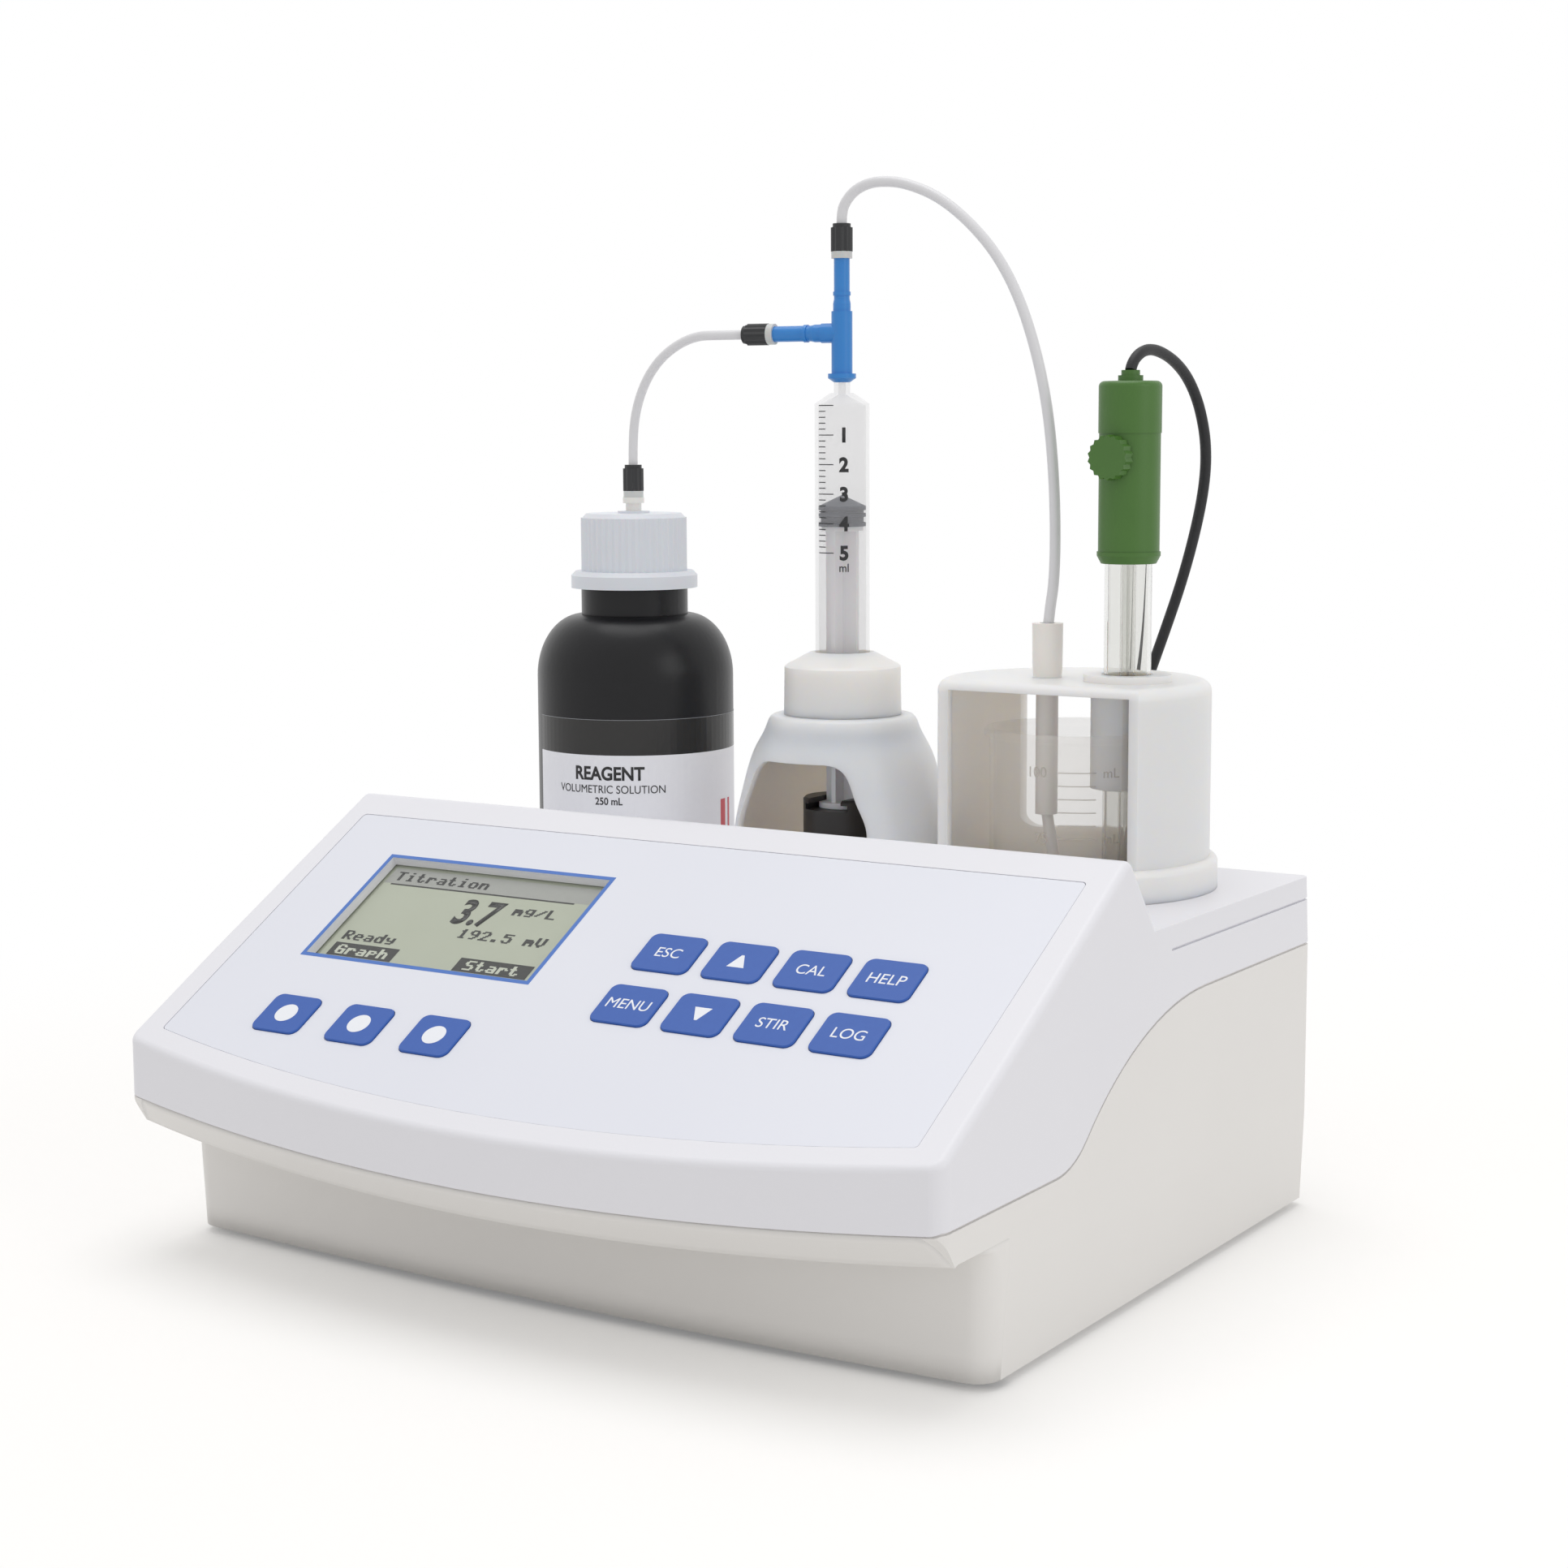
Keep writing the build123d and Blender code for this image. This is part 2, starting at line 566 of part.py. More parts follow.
def panel_pieces():
    sheet = extrude(PANEL.location * Pos(0, 0, -OVERLAY_RECESS) * overlay_outline(0.15), OVERLAY_THICK, dir=PANEL.z_dir)
    sheet -= on_panel(SCREEN_X, SCREEN_UP, pad(VIEW_W, VIEW_H, -2, 2))
    for name, x, up, length in keys():
        hole = pad(length + 2 * KEY_GAP, KEY_DEPTH + 2 * KEY_GAP, -2, 2, KEY_CORNER + KEY_GAP)
        sheet -= on_panel(x, up, hole)
        cap = pad(length, KEY_DEPTH, KEY_PROUD - KEY_THICK, KEY_PROUD, KEY_CORNER)
        cap = chamfer(cap.edges().group_by(Axis.Z)[-1], 0.2)
        stem = Pos(0, 0, KEY_PROUD - KEY_THICK - STEM_LENGTH / 2) * Cylinder(KEY_STEM / 2, STEM_LENGTH)
        save(name, on_panel(x, up, cap + stem))
    save("keypad_overlay", sheet)
    low = -OVERLAY_RECESS
    save("display_window", on_panel(SCREEN_X, SCREEN_UP, pad(VIEW_W - 0.1, VIEW_H - 0.1, low, low + WINDOW_THICK)))
    glass = pad(VIEW_W - 3, VIEW_H - 3, -SCREEN_DROP, -SCREEN_DROP + 0.6)
    module = pad(VIEW_W + 5, VIEW_H + 4, -SCREEN_DROP - SCREEN_THICK, -SCREEN_DROP) + glass
    save("lcd_panel", on_panel(SCREEN_X, SCREEN_UP, module))
    top = KEY_PROUD - KEY_THICK - STEM_LENGTH - KEY_TRAVEL - SWITCH_GAP
    board = on_panel(0, KEY_BOARD_UP, pad(KEY_BOARD_W, KEY_BOARD_H, top - SWITCH_HEIGHT - BOARD_THICK, top - SWITCH_HEIGHT))
    for _, x, up, _ in keys():
        board += on_panel(x, up, pad(6, 6, top - SWITCH_HEIGHT - 0.2, top))
    save("keypad_board", board)


def main_board():
    board = block(-BOARD_W / 2, BOARD_W / 2, BOARD_Y - BOARD_L / 2, BOARD_Y + BOARD_L / 2, BOARD_Z, BOARD_Z + BOARD_THICK)
    for x, y in BOARD_POSTS:
        board -= rod(x, y, BOARD_Z - 1, BOARD_Z + 3, 2.8)
    top = BOARD_Z + BOARD_THICK
    for x, y, w, d, h in ((-20, -8, 16, 16, 2), (14, 6, 22, 10, 3), (40, -12, 12, 18, 8), (-44, 8, 20, 12, 11)):
        board += block(x - w / 2, x + w / 2, BOARD_Y + y - d / 2, BOARD_Y + y + d / 2, top - 0.2, top + h)
    save("main_board", board)


# ---- rear connector panel ------------------------------------------------------------------------
def facing_rear(x, z, near, far, diameter):
    """A rod pointing to the rear between two distances behind the panel's face."""
    face = REAR_Y - BAY_DEPTH
    return Pos(x, face + (near + far) / 2, z) * Rot(X=90) * Cylinder(diameter / 2, far - near)


def rear_panel():
    face, gap = REAR_Y - BAY_DEPTH, 0.2
    panel = block(
        -BAY_HALF_W + gap, BAY_HALF_W - gap, face - REAR_PLATE, face, BAY_BASE_Z + gap, BAY_TOP_Z - gap
    )
    for x, d in ((BNC_X, BNC_D), (PROBE_X, 8.0), (POWER_X, 11.0)):
        panel -= facing_rear(x, SOCKET_Z, -REAR_PLATE - 1, 1, d + 0.2)
    for x, w, h in ((USB_X, 12.0, 11.0), (ROCKER_X, ROCKER_W + 0.4, ROCKER_H + 0.4)):
        panel -= block(x - w / 2 - 0.1, x + w / 2 + 0.1, face - 3, face + 1, SOCKET_Z - h / 2 - 0.1, SOCKET_Z + h / 2 + 0.1)
    save("rear_panel", panel)
    behind = -REAR_PLATE - 8
    socket = facing_rear(BNC_X, SOCKET_Z, behind, 8.5, BNC_D) + facing_rear(BNC_X, SOCKET_Z, 0, 1.8, 13)
    lugs = Pos(BNC_X, face + 6.5, SOCKET_Z) * Cylinder(0.9, BNC_D + 2.2)
    save("bnc_socket", socket + lugs - facing_rear(BNC_X, SOCKET_Z, 2, 9, 7.0))
    probe = facing_rear(PROBE_X, SOCKET_Z, behind, 7, 8.0) + facing_rear(PROBE_X, SOCKET_Z, 0, 1.5, 11)
    probe -= facing_rear(PROBE_X, SOCKET_Z, 1, 8, PROBE_BORE)
    power = facing_rear(POWER_X, SOCKET_Z, behind, 1.5, 11.0) + facing_rear(POWER_X, SOCKET_Z, 0, 1.5, 14)
    power -= facing_rear(POWER_X, SOCKET_Z, -8, 2, 6.0)
    power += facing_rear(POWER_X, SOCKET_Z, -8.2, -0.5, 1.9)
    usb = block(USB_X - 6, USB_X + 6, face - 12, face + 0.6, SOCKET_Z - 5.5, SOCKET_Z + 5.5)
    usb -= block(USB_X - 4.6, USB_X + 4.6, face - 9, face + 1, SOCKET_Z - 4.1, SOCKET_Z + 4.1)
    usb += block(USB_X - 2.9, USB_X + 2.9, face - 9.2, face - 0.6, SOCKET_Z - 1.6, SOCKET_Z + 1.6)
    save("rear_sockets", probe, power, usb)
    w, h = ROCKER_W, ROCKER_H
    bezel = block(ROCKER_X - w / 2, ROCKER_X + w / 2, face - 14, face + 0.1, SOCKET_Z - h / 2, SOCKET_Z + h / 2)
    bezel += block(ROCKER_X - w / 2 - 1, ROCKER_X + w / 2 + 1, face, face + 1.2, SOCKET_Z - h / 2 - 1, SOCKET_Z + h / 2 + 1)
    cradle = Pos(ROCKER_X, face - 1.0, SOCKET_Z) * Rot(Y=90) * Cylinder(ROCKER_R + 0.08, w - 2.4)
    save("switch_frame", bezel - cradle)
    drum = Rot(Y=90) * Cylinder(ROCKER_R, w - 2.8) - block(-w, w, ROCKER_R - 3.4, h, -h, h)
    save("power_rocker", Pos(ROCKER_X, face - 1.0, SOCKET_Z) * Rot(X=ROCKER_SWING) * drum)


# ---- bottle --------------------------------------------------------------------------------------
def bottle():
    r, neck, wall = BOTTLE_D / 2, BOTTLE_NECK_D / 2, BOTTLE_WALL
    finish, heel, rise = BOTTLE_FINISH_D / 2, 3.0, BOTTLE_NECK_Z - BOTTLE_BODY_Z
    base = BOTTLE_SEAT_Z
    outer = [
        Polyline((0, base), (r - heel, base)),
        RadiusArc((r - heel, base), (r, base + heel), -heel),
        Line((r, base + heel), (r, BOTTLE_BODY_Z)),
        EllipticalCenterArc((neck, BOTTLE_BODY_Z), r - neck, rise, start_angle=0, arc_size=90),
        Polyline(
            (neck, BOTTLE_NECK_Z), (neck, CAP_SKIRT_Z), (finish, CAP_SKIRT_Z), (finish, BOTTLE_FINISH_Z), (0, BOTTLE_FINISH_Z)
        ),
        Line((0, BOTTLE_FINISH_Z), (0, base)),
    ]
    body = revolve(Plane.XZ * make_face(outer), Axis.Z)
    hollow = lathe(
        0,
        0,
        [
            (0, base + 2),
            (r - wall, base + 2),
            (r - wall, BOTTLE_BODY_Z - 1),
            (r - 4, BOTTLE_BODY_Z + 7),
            (finish - wall, BOTTLE_NECK_Z - 1),
            (finish - wall, BOTTLE_FINISH_Z + 1),
            (0, BOTTLE_FINISH_Z + 1),
        ],
    )
    save("bottle", Pos(BOTTLE_X, BOTTLE_Y, 0) * (body - hollow))


def ribbed(diameter, depth, count, low, high):
    """A round grip whose edge is cut by evenly spaced flutes."""
    r = diameter / 2
    corners = []
    for i in range(count):
        for turn, radius in ((0.0, r), (0.5, r - depth)):
            angle = 2 * pi * (i + turn) / count
            corners.append((radius * cos(angle), radius * sin(angle)))
    return Pos(0, 0, low) * extrude(make_face(Polyline(*corners, close=True)), high - low)


def bottle_cap():
    grip = ribbed(CAP_D, CAP_RIB_DEPTH, CAP_RIBS, CAP_SKIRT_Z + CAP_SKIRT_H, CAP_TOP_Z - 1.2)
    r = CAP_D / 2
    crown = lathe(0, 0, [(0, CAP_TOP_Z - 1.2), (r - 0.4, CAP_TOP_Z - 1.2), (r - 1.5, CAP_TOP_Z), (0, CAP_TOP_Z)])
    skirt_z = CAP_SKIRT_Z + CAP_SKIRT_H
    skirt = lathe(
        0,
        0,
        [
            (0, CAP_SKIRT_Z),
            (CAP_SKIRT_D / 2, CAP_SKIRT_Z),
            (CAP_SKIRT_D / 2, skirt_z - 1.2),
            (CAP_SKIRT_D / 2 - 1.2, skirt_z),
            (0, skirt_z),
        ],
    )
    cap = grip + crown + skirt - rod(0, 0, CAP_SKIRT_Z - 1, BOTTLE_FINISH_Z, BOTTLE_FINISH_D + 0.1)
    cap += rod(0, 0, CAP_TOP_Z - 1, CAP_TOP_Z + 0.6, 9)
    cap -= rod(0, 0, BOTTLE_FINISH_Z - 2, CAP_TOP_Z + 2, LUER_D)
    save("bottle_cap", Pos(BOTTLE_X, BOTTLE_Y, 0) * cap)
    adapter = ring(0, 0, BOTTLE_FINISH_Z - 6, LUER_TOP_Z, LUER_D, DIP_TUBE_D - 1) + ring(
        0, 0, LUER_TOP_Z - 1.6, LUER_TOP_Z, LUER_D + 1.6, DIP_TUBE_D - 1
    )
    dip = ring(0, 0, BOTTLE_SEAT_Z + 5, BOTTLE_FINISH_Z - 6, DIP_TUBE_D, DIP_TUBE_D - 1)
    save("dip_tube", Pos(BOTTLE_X, BOTTLE_Y, 0) * (adapter + dip))


# ---- pump ----------------------------------------------------------------------------------------
def dome_half(points, inset, top):
    """The dome's half outline: a smooth flank up to a rounded shoulder."""
    flank = [(r - inset, z) for r, z in points]
    shoulder = (DOME_TOP_R - inset, top)
    curve = Spline(*flank, shoulder, tangents=((-0.12, 1), (-1, 0.12)))
    return make_face([curve, Polyline(shoulder, (0, top), (0, DECK_Z), flank[0])])


def pump_dome():
    outer = revolve(Plane.XZ * dome_half(DOME_PROFILE, 0, DOME_TOP_Z), Axis.Z)
    inner = revolve(Plane.XZ * dome_half(DOME_PROFILE, DOME_WALL, DOME_TOP_Z - DOME_WALL), Axis.Z)
    top, base = DOME_WINDOW_TOP, DOME_WINDOW_BASE
    half, flat = DOME_WINDOW_HALF, DOME_WINDOW_FLAT
    arch = make_face(
        [
            Polyline((-flat, top), (flat, top)),
            Spline((flat, top), (half - 3.6, top - 9), (half, base + 6), tangents=((1, 0), (0.05, -1))),
            Polyline((half, base + 6), (half, base), (-half, base), (-half, base + 6)),
            Spline((-half, base + 6), (-half + 3.6, top - 9), (-flat, top), tangents=((0.05, 1), (1, 0))),
        ]
    )
    window = extrude(Plane.XZ * arch, 60)
    bore = rod(0, 0, DECK_Z, DOME_TOP_Z + 1, COLLAR_BORE)
    save("pump_dome", Pos(PUMP_X, PUMP_Y, 0) * (outer - inner - window - bore))


COLLAR_BORE = PISTON_D + 1.6


def locking_collar():
    r, throat = COLLAR_D / 2, BARREL_D / 2 + 0.15
    pocket = BARREL_FLANGE_D / 2 + 0.3
    low, top = BARREL_FLANGE_Z, BARREL_FLANGE_Z + BARREL_FLANGE_H + 0.1
    outline = [
        (COLLAR_BORE / 2, DOME_TOP_Z),
        (r + 0.2, DOME_TOP_Z),
        (r, COLLAR_EDGE_Z - 0.6),
        (r - 0.7, COLLAR_EDGE_Z),
        (throat + 1.2, COLLAR_TOP_Z),
        (throat, COLLAR_TOP_Z),
        (throat, top),
        (pocket, top),
        (pocket, low - 0.1),
        (COLLAR_BORE / 2, low - 0.1),
    ]
    save("locking_collar", lathe(PUMP_X, PUMP_Y, outline))


def syringe():
    r, bore = BARREL_D / 2, BARREL_BORE / 2
    nozzle, hole = NOZZLE_D / 2, NOZZLE_BORE / 2
    low = BARREL_FLANGE_Z
    outline = [
        (bore, low),
        (BARREL_FLANGE_D / 2, low),
        (BARREL_FLANGE_D / 2, low + BARREL_FLANGE_H),
        (r, low + BARREL_FLANGE_H),
        (r, BARREL_TOP_Z),
        (nozzle + 1, SHOULDER_Z),
        (nozzle, SHOULDER_Z),
        (nozzle, NOZZLE_TOP_Z),
        (hole, NOZZLE_TOP_Z),
        (hole, SHOULDER_Z - 0.4),
        (bore, BARREL_TOP_Z - 0.6),
    ]
    save("syringe_barrel", lathe(PUMP_X, PUMP_Y, outline))
    edge, base, seal = STOPPER_EDGE_Z, STOPPER_BASE_Z, bore - STOPPER_FIT
    waist, socket = seal - 0.6, 2.6
    stopper = [
        (0, edge + STOPPER_TIP),
        (0, base + 2),
        (socket, base + 2),
        (socket, base),
        (seal, base),
        (seal, base + 1.0),
        (waist, base + 1.2),
        (waist, base + 2.4),
        (seal, base + 2.6),
        (seal, base + 3.4),
        (waist, base + 3.6),
        (waist, base + 4.2),
        (seal, base + 4.4),
        (seal, edge),
    ]
    save("plunger_stopper", lathe(PUMP_X, PUMP_Y, stopper))
    foot = PISTON_TOP_Z - PISTON_LIP - PLUNGER_FOOT_H
    height = base - foot
    cross = Box(PLUNGER_W, PLUNGER_RIB, height) + Box(PLUNGER_RIB, PLUNGER_W, height)
    plunger = Pos(0, 0, foot + height / 2) * cross
    plunger += rod(0, 0, foot, foot + PLUNGER_FOOT_H, PLUNGER_FOOT_D)
    plunger += rod(0, 0, base - 1.2, base, PLUNGER_W + 1.6)
    plunger += rod(0, 0, base, base + 2, 2 * socket)
    save("plunger_rod", Pos(PUMP_X, PUMP_Y, 0) * plunger)


def piston():
    gap = 0.1
    slot_top = PISTON_TOP_Z - PISTON_LIP
    body = rod(0, 0, PISTON_BASE_Z, PISTON_TOP_Z, PISTON_D)
    body = chamfer(body.edges().group_by(Axis.Z)[-1], 0.6)
    wide = PLUNGER_FOOT_D / 2 + gap
    pocket = rod(0, 0, slot_top - PLUNGER_FOOT_H - gap, slot_top, 2 * wide)
    pocket += block(-wide, wide, -PISTON_D, 0, slot_top - PLUNGER_FOOT_H - gap, slot_top)
    narrow = PLUNGER_W / 2 + 0.3
    pocket += rod(0, 0, slot_top - 0.1, PISTON_TOP_Z + 1, 2 * narrow)
    pocket += block(-narrow, narrow, -PISTON_D, 0, slot_top - 0.1, PISTON_TOP_Z + 1)
    bore = rod(0, 0, PISTON_BASE_Z - 1, SCREW_TOP_Z + STROKE_DOWN + 2, SCREW_D + SCREW_RELIEF)
    save("drive_piston", Pos(PUMP_X, PUMP_Y, 0) * (body - pocket - bore))
    low = PISTON_BASE_Z - NUT_H
    nut = pad(NUT_LENGTH, NUT_WIDTH, low, PISTON_BASE_Z, 3) - rod(0, 0, low - 1, PISTON_BASE_Z + 1, SCREW_D + 2 * SCREW_FIT)
    for x in (-ROD_OFFSET, ROD_OFFSET):
        nut -= rod(x, 0, low - 1, PISTON_BASE_Z + 1, ROD_D + 2 * ROD_FIT)
    save("drive_nut", Pos(PUMP_X, PUMP_Y, 0) * nut)


def pump_drive():
    half, deep, plate = PUMP_FRAME_HALF, PUMP_FRAME_DEPTH, PUMP_PLATE
    base = MOTOR_TOP_Z
    frame = pad(2 * half, deep, DECK_UNDER - plate, DECK_UNDER) + pad(2 * half, deep, base, base + plate)
    for x in (-half, half - plate):
        frame += block(x, x + plate, -deep / 2, deep / 2, base, DECK_UNDER)
    frame -= rod(0, 0, DECK_UNDER - plate - 1, DECK_UNDER + 1, PISTON_D + 2 * PISTON_FIT)
    frame -= rod(0, 0, base - 1, base + plate + 1, SCREW_D + 2 * SCREW_FIT)
    frame -= rod(0, 0, base - 1, base + MOTOR_BOSS_H, MOTOR_BOSS_D)
    rods = [rod(x, 0, base + plate, DECK_UNDER - plate, ROD_D) for x in (-ROD_OFFSET, ROD_OFFSET)]
    here = Pos(PUMP_X, PUMP_Y, 0)
    save("pump_frame", here * frame, *[here * r for r in rods])
    motor = pad(MOTOR_SIDE, MOTOR_SIDE, base - MOTOR_HEIGHT, base, 4) + rod(0, 0, base, base + 1.6, MOTOR_BOSS_D)
    motor -= rod(0, 0, base - 6, base + 3, SCREW_D + 2 * SCREW_FIT)
    save("pump_motor", here * motor)
    screw = rod(0, 0, base - 5.7, SCREW_TOP_Z, SCREW_D)
    save("lead_screw", here * chamfer(screw.edges().group_by(Axis.Z)[-1], 0.8))


# ---- valve and its fittings ----------------------------------------------------------------------
def arm_outline(start, neck_start, wide, stem):
    """Half outline, along an arm, of its neck, its taper and its hose stub."""
    neck, tip = VALVE_NECK_D / 2, VALVE_TIP_D / 2
    neck_end = neck_start + VALVE_NECK_L
    outline = [(0, start), (wide / 2, start), (wide / 2, neck_start), (neck, neck_start), (neck, neck_start + 2)]
    outline += [(tip, neck_start + 3.2), (tip, neck_end - 1), (neck, neck_end - 1), (neck, neck_end)]
    return outline + [(tip, neck_end), (tip, neck_end + stem), (0, neck_end + stem)]


def valve():
    here = Pos(PUMP_X, PUMP_Y, 0)
    side = here * Pos(0, 0, VALVE_ARM_Z) * Rot(Z=SIDE_ARM_TURN) * Rot(Y=90)
    low = NOZZLE_TOP_Z
    wide = VALVE_BODY_D
    upright = lathe(0, 0, arm_outline(low + 1, VALVE_BODY_TOP, wide, VALVE_TIP_L))
    upright += lathe(0, 0, [(0, low - 2.6), (VALVE_FLANGE_D / 2, low), (VALVE_FLANGE_D / 2, low + 1.2), (0, low + 1.2)])
    arm = lathe(0, 0, arm_outline(0, SIDE_NECK_BACK, wide - 0.4, VALVE_TIP_L))
    bore = rod(0, 0, low - 4, low, NOZZLE_D) + rod(0, 0, low - 1, FAR * 2, 1.6)
    body = here * (upright - bore) + side * arm
    body -= side * Pos(0, 0, 20) * Cylinder(0.8, 40)
    save("valve_body", body - here * bore)
    top_end = VALVE_BODY_TOP + VALVE_NECK_L + VALVE_TIP_L
    side_end = SIDE_NECK_BACK + VALVE_NECK_L + VALVE_TIP_L
    seats = [here * Pos(0, 0, top_end), side * Pos(0, 0, side_end), Pos(BOTTLE_X, BOTTLE_Y, LUER_TOP_Z)]
    collars, nuts = [], []
    for seat in seats:
        collars.append(seat * ring(0, 0, 0, FERRULE_L, FERRULE_D, 1.6))
        nut = ribbed(TUBE_NUT_D, 0.3, NUT_RIBS, FERRULE_L, FERRULE_L + TUBE_NUT_L - 1)
        nut += rod(0, 0, FERRULE_L + TUBE_NUT_L - 1, FERRULE_L + TUBE_NUT_L, TUBE_NUT_D - 1)
        nuts.append(seat * (nut - rod(0, 0, 0, 20, 1.6)))
    save("tube_ferrules", *collars)
    save("tube_nuts", *nuts)


# ---- beaker holder, beaker and stirrer -----------------------------------------------------------
def holder_hood():
    def drum(r, low, high):
        return rod(0, 0, low, high, 2 * r) & block(-FAR, FAR, HOOD_R - r - HOOD_FLAT, FAR, low, high)

    shell = drum(HOOD_R, FLANGE_TOP_Z - 2, HOOD_TOP_Z)
    shell = fillet(shell.edges().group_by(Axis.Z)[-1], HOOD_EDGE_R)
    foot = rod(0, 0, DECK_Z, FLANGE_TOP_Z, 2 * FLANGE_R)
    shell += fillet(foot.edges().group_by(Axis.Z)[-1], 1.8)
    hood = shell - drum(HOOD_R - HOOD_WALL, FLANGE_TOP_Z - 3, HOOD_TOP_Z - HOOD_WALL)
    hood -= rod(0, 0, DECK_Z - 1, FLANGE_TOP_Z + 1, 2 * (HOOD_R - HOOD_WALL)) - block(
        -FAR, FAR, -FAR, -HOOD_FLAT + HOOD_WALL, DECK_Z - 2, FLANGE_TOP_Z + 2
    )
    hood -= rod(0, WELL_BACK, DECK_Z - 1, FLANGE_TOP_Z + 1, WELL_D)
    top = HOOD_TOP_Z - HOOD_WALL
    hood -= block(-WINDOW_HALF, WINDOW_HALF, -HOOD_FLAT - 1, -HOOD_FLAT + HOOD_WALL + 0.5, FLANGE_TOP_Z, top)
    rear = pad(2 * REAR_WINDOW_HALF, top - REAR_WINDOW_BASE, 0, HOOD_R, 4)
    hood -= Pos(0, HOOD_R + 5, (top + REAR_WINDOW_BASE) / 2) * Rot(X=90) * rear
    hood += rod(ELECTRODE_OUT, 0, HOOD_TOP_Z - 1, HOOD_TOP_Z + RING_H, RING_D) + (
        rod(ELECTRODE_OUT, 0, GUIDE_BASE_Z, HOOD_TOP_Z - 1, GUIDE_D)
        & rod(0, WELL_BACK, GUIDE_BASE_Z, HOOD_TOP_Z, BEAKER_BORE - 1.2)
    )
    hood -= rod(ELECTRODE_OUT, 0, GUIDE_BASE_Z - 1, HOOD_TOP_Z + 9, GLASS_D + 2 * ELECTRODE_FIT)
    hood -= rod(TIP_OUT, 0, GUIDE_BASE_Z, HOOD_TOP_Z + 9, STEM_D + 0.2)
    save("holder_hood", Pos(HOLDER_X, HOLDER_Y, 0) * hood)


def beaker():
    r, wall, low, top = BEAKER_BORE / 2, BEAKER_WALL, WELL_FLOOR_Z, BEAKER_TOP_Z
    rim = BEAKER_RIM_D / 2
    outline = [
        (0, low),
        (r + wall - 2, low),
        (r + wall, low + 2),
        (r + wall, top - BEAKER_RIM_H),
        (rim, top - BEAKER_RIM_H + 0.6),
        (rim, top - 0.6),
        (rim - 0.6, top),
        (r + 0.3, top),
        (r, top - 0.6),
        (r, low + 2.4),
        (r - 1.6, low + BEAKER_BASE),
        (0, low + BEAKER_BASE),
    ]
    save("beaker", lathe(HOLDER_X, WELL_Y, outline))
    bar_z = low + BEAKER_BASE + BAR_CLEARANCE + BAR_D / 2
    bar = Rot(Y=90) * Cylinder(BAR_D / 2, BAR_LENGTH)
    bar = fillet(bar.edges().filter_by(GeomType.CIRCLE), BAR_D / 2 - 0.4)
    save("stir_bar", Pos(HOLDER_X, WELL_Y, bar_z) * bar)


def stirrer():
    here = Pos(HOLDER_X, WELL_Y, 0)
    under = WELL_FLOOR_Z - WELL_WALL
    top = under - ROTOR_GAP
    rotor = rod(0, 0, top - ROTOR_H, top, ROTOR_D)
    magnets = []
    for x in (-MAGNET_OFFSET, MAGNET_OFFSET):
        rotor -= rod(x, 0, top - MAGNET_H, top + 1, MAGNET_D)
        magnets.append(here * rod(x, 0, top - MAGNET_H, top, MAGNET_D))
    shaft = rod(0, 0, top - ROTOR_H - 9, top - ROTOR_H, STIR_SHAFT_D)
    save("magnet_holder", here * (rotor + shaft), *magnets)
    motor_top = top - ROTOR_H - 2
    base = motor_top - STIR_MOTOR_H
    motor = rod(0, 0, base, motor_top, STIR_MOTOR_D) - rod(0, 0, motor_top - 8, motor_top + 1, STIR_SHAFT_D + 0.12)
    save("stirrer_motor", here * motor)
    t, half = BRACKET_THICK, WELL_D / 2 + WELL_WALL
    bracket = pad(2 * half, 20, base - t, base) - rod(0, 0, base - t - 1, base + 1, 8)
    for x in (-half, half - t):
        bracket += block(x, x + t, -10, 10, base - t, under)
        bracket += block(min(x, x + t), max(x, x + t), -10, 10, under - 1, under)
    for side in (-1, 1):
        inner = half - 6
        bracket += block(min(side * inner, side * half), max(side * inner, side * half), -10, 10, under - t, under)
    bracket += ring(0, 0, base - 0.1, base + 4, STIR_MOTOR_D + 3, STIR_MOTOR_D)
    save("motor_bracket", here * bracket)


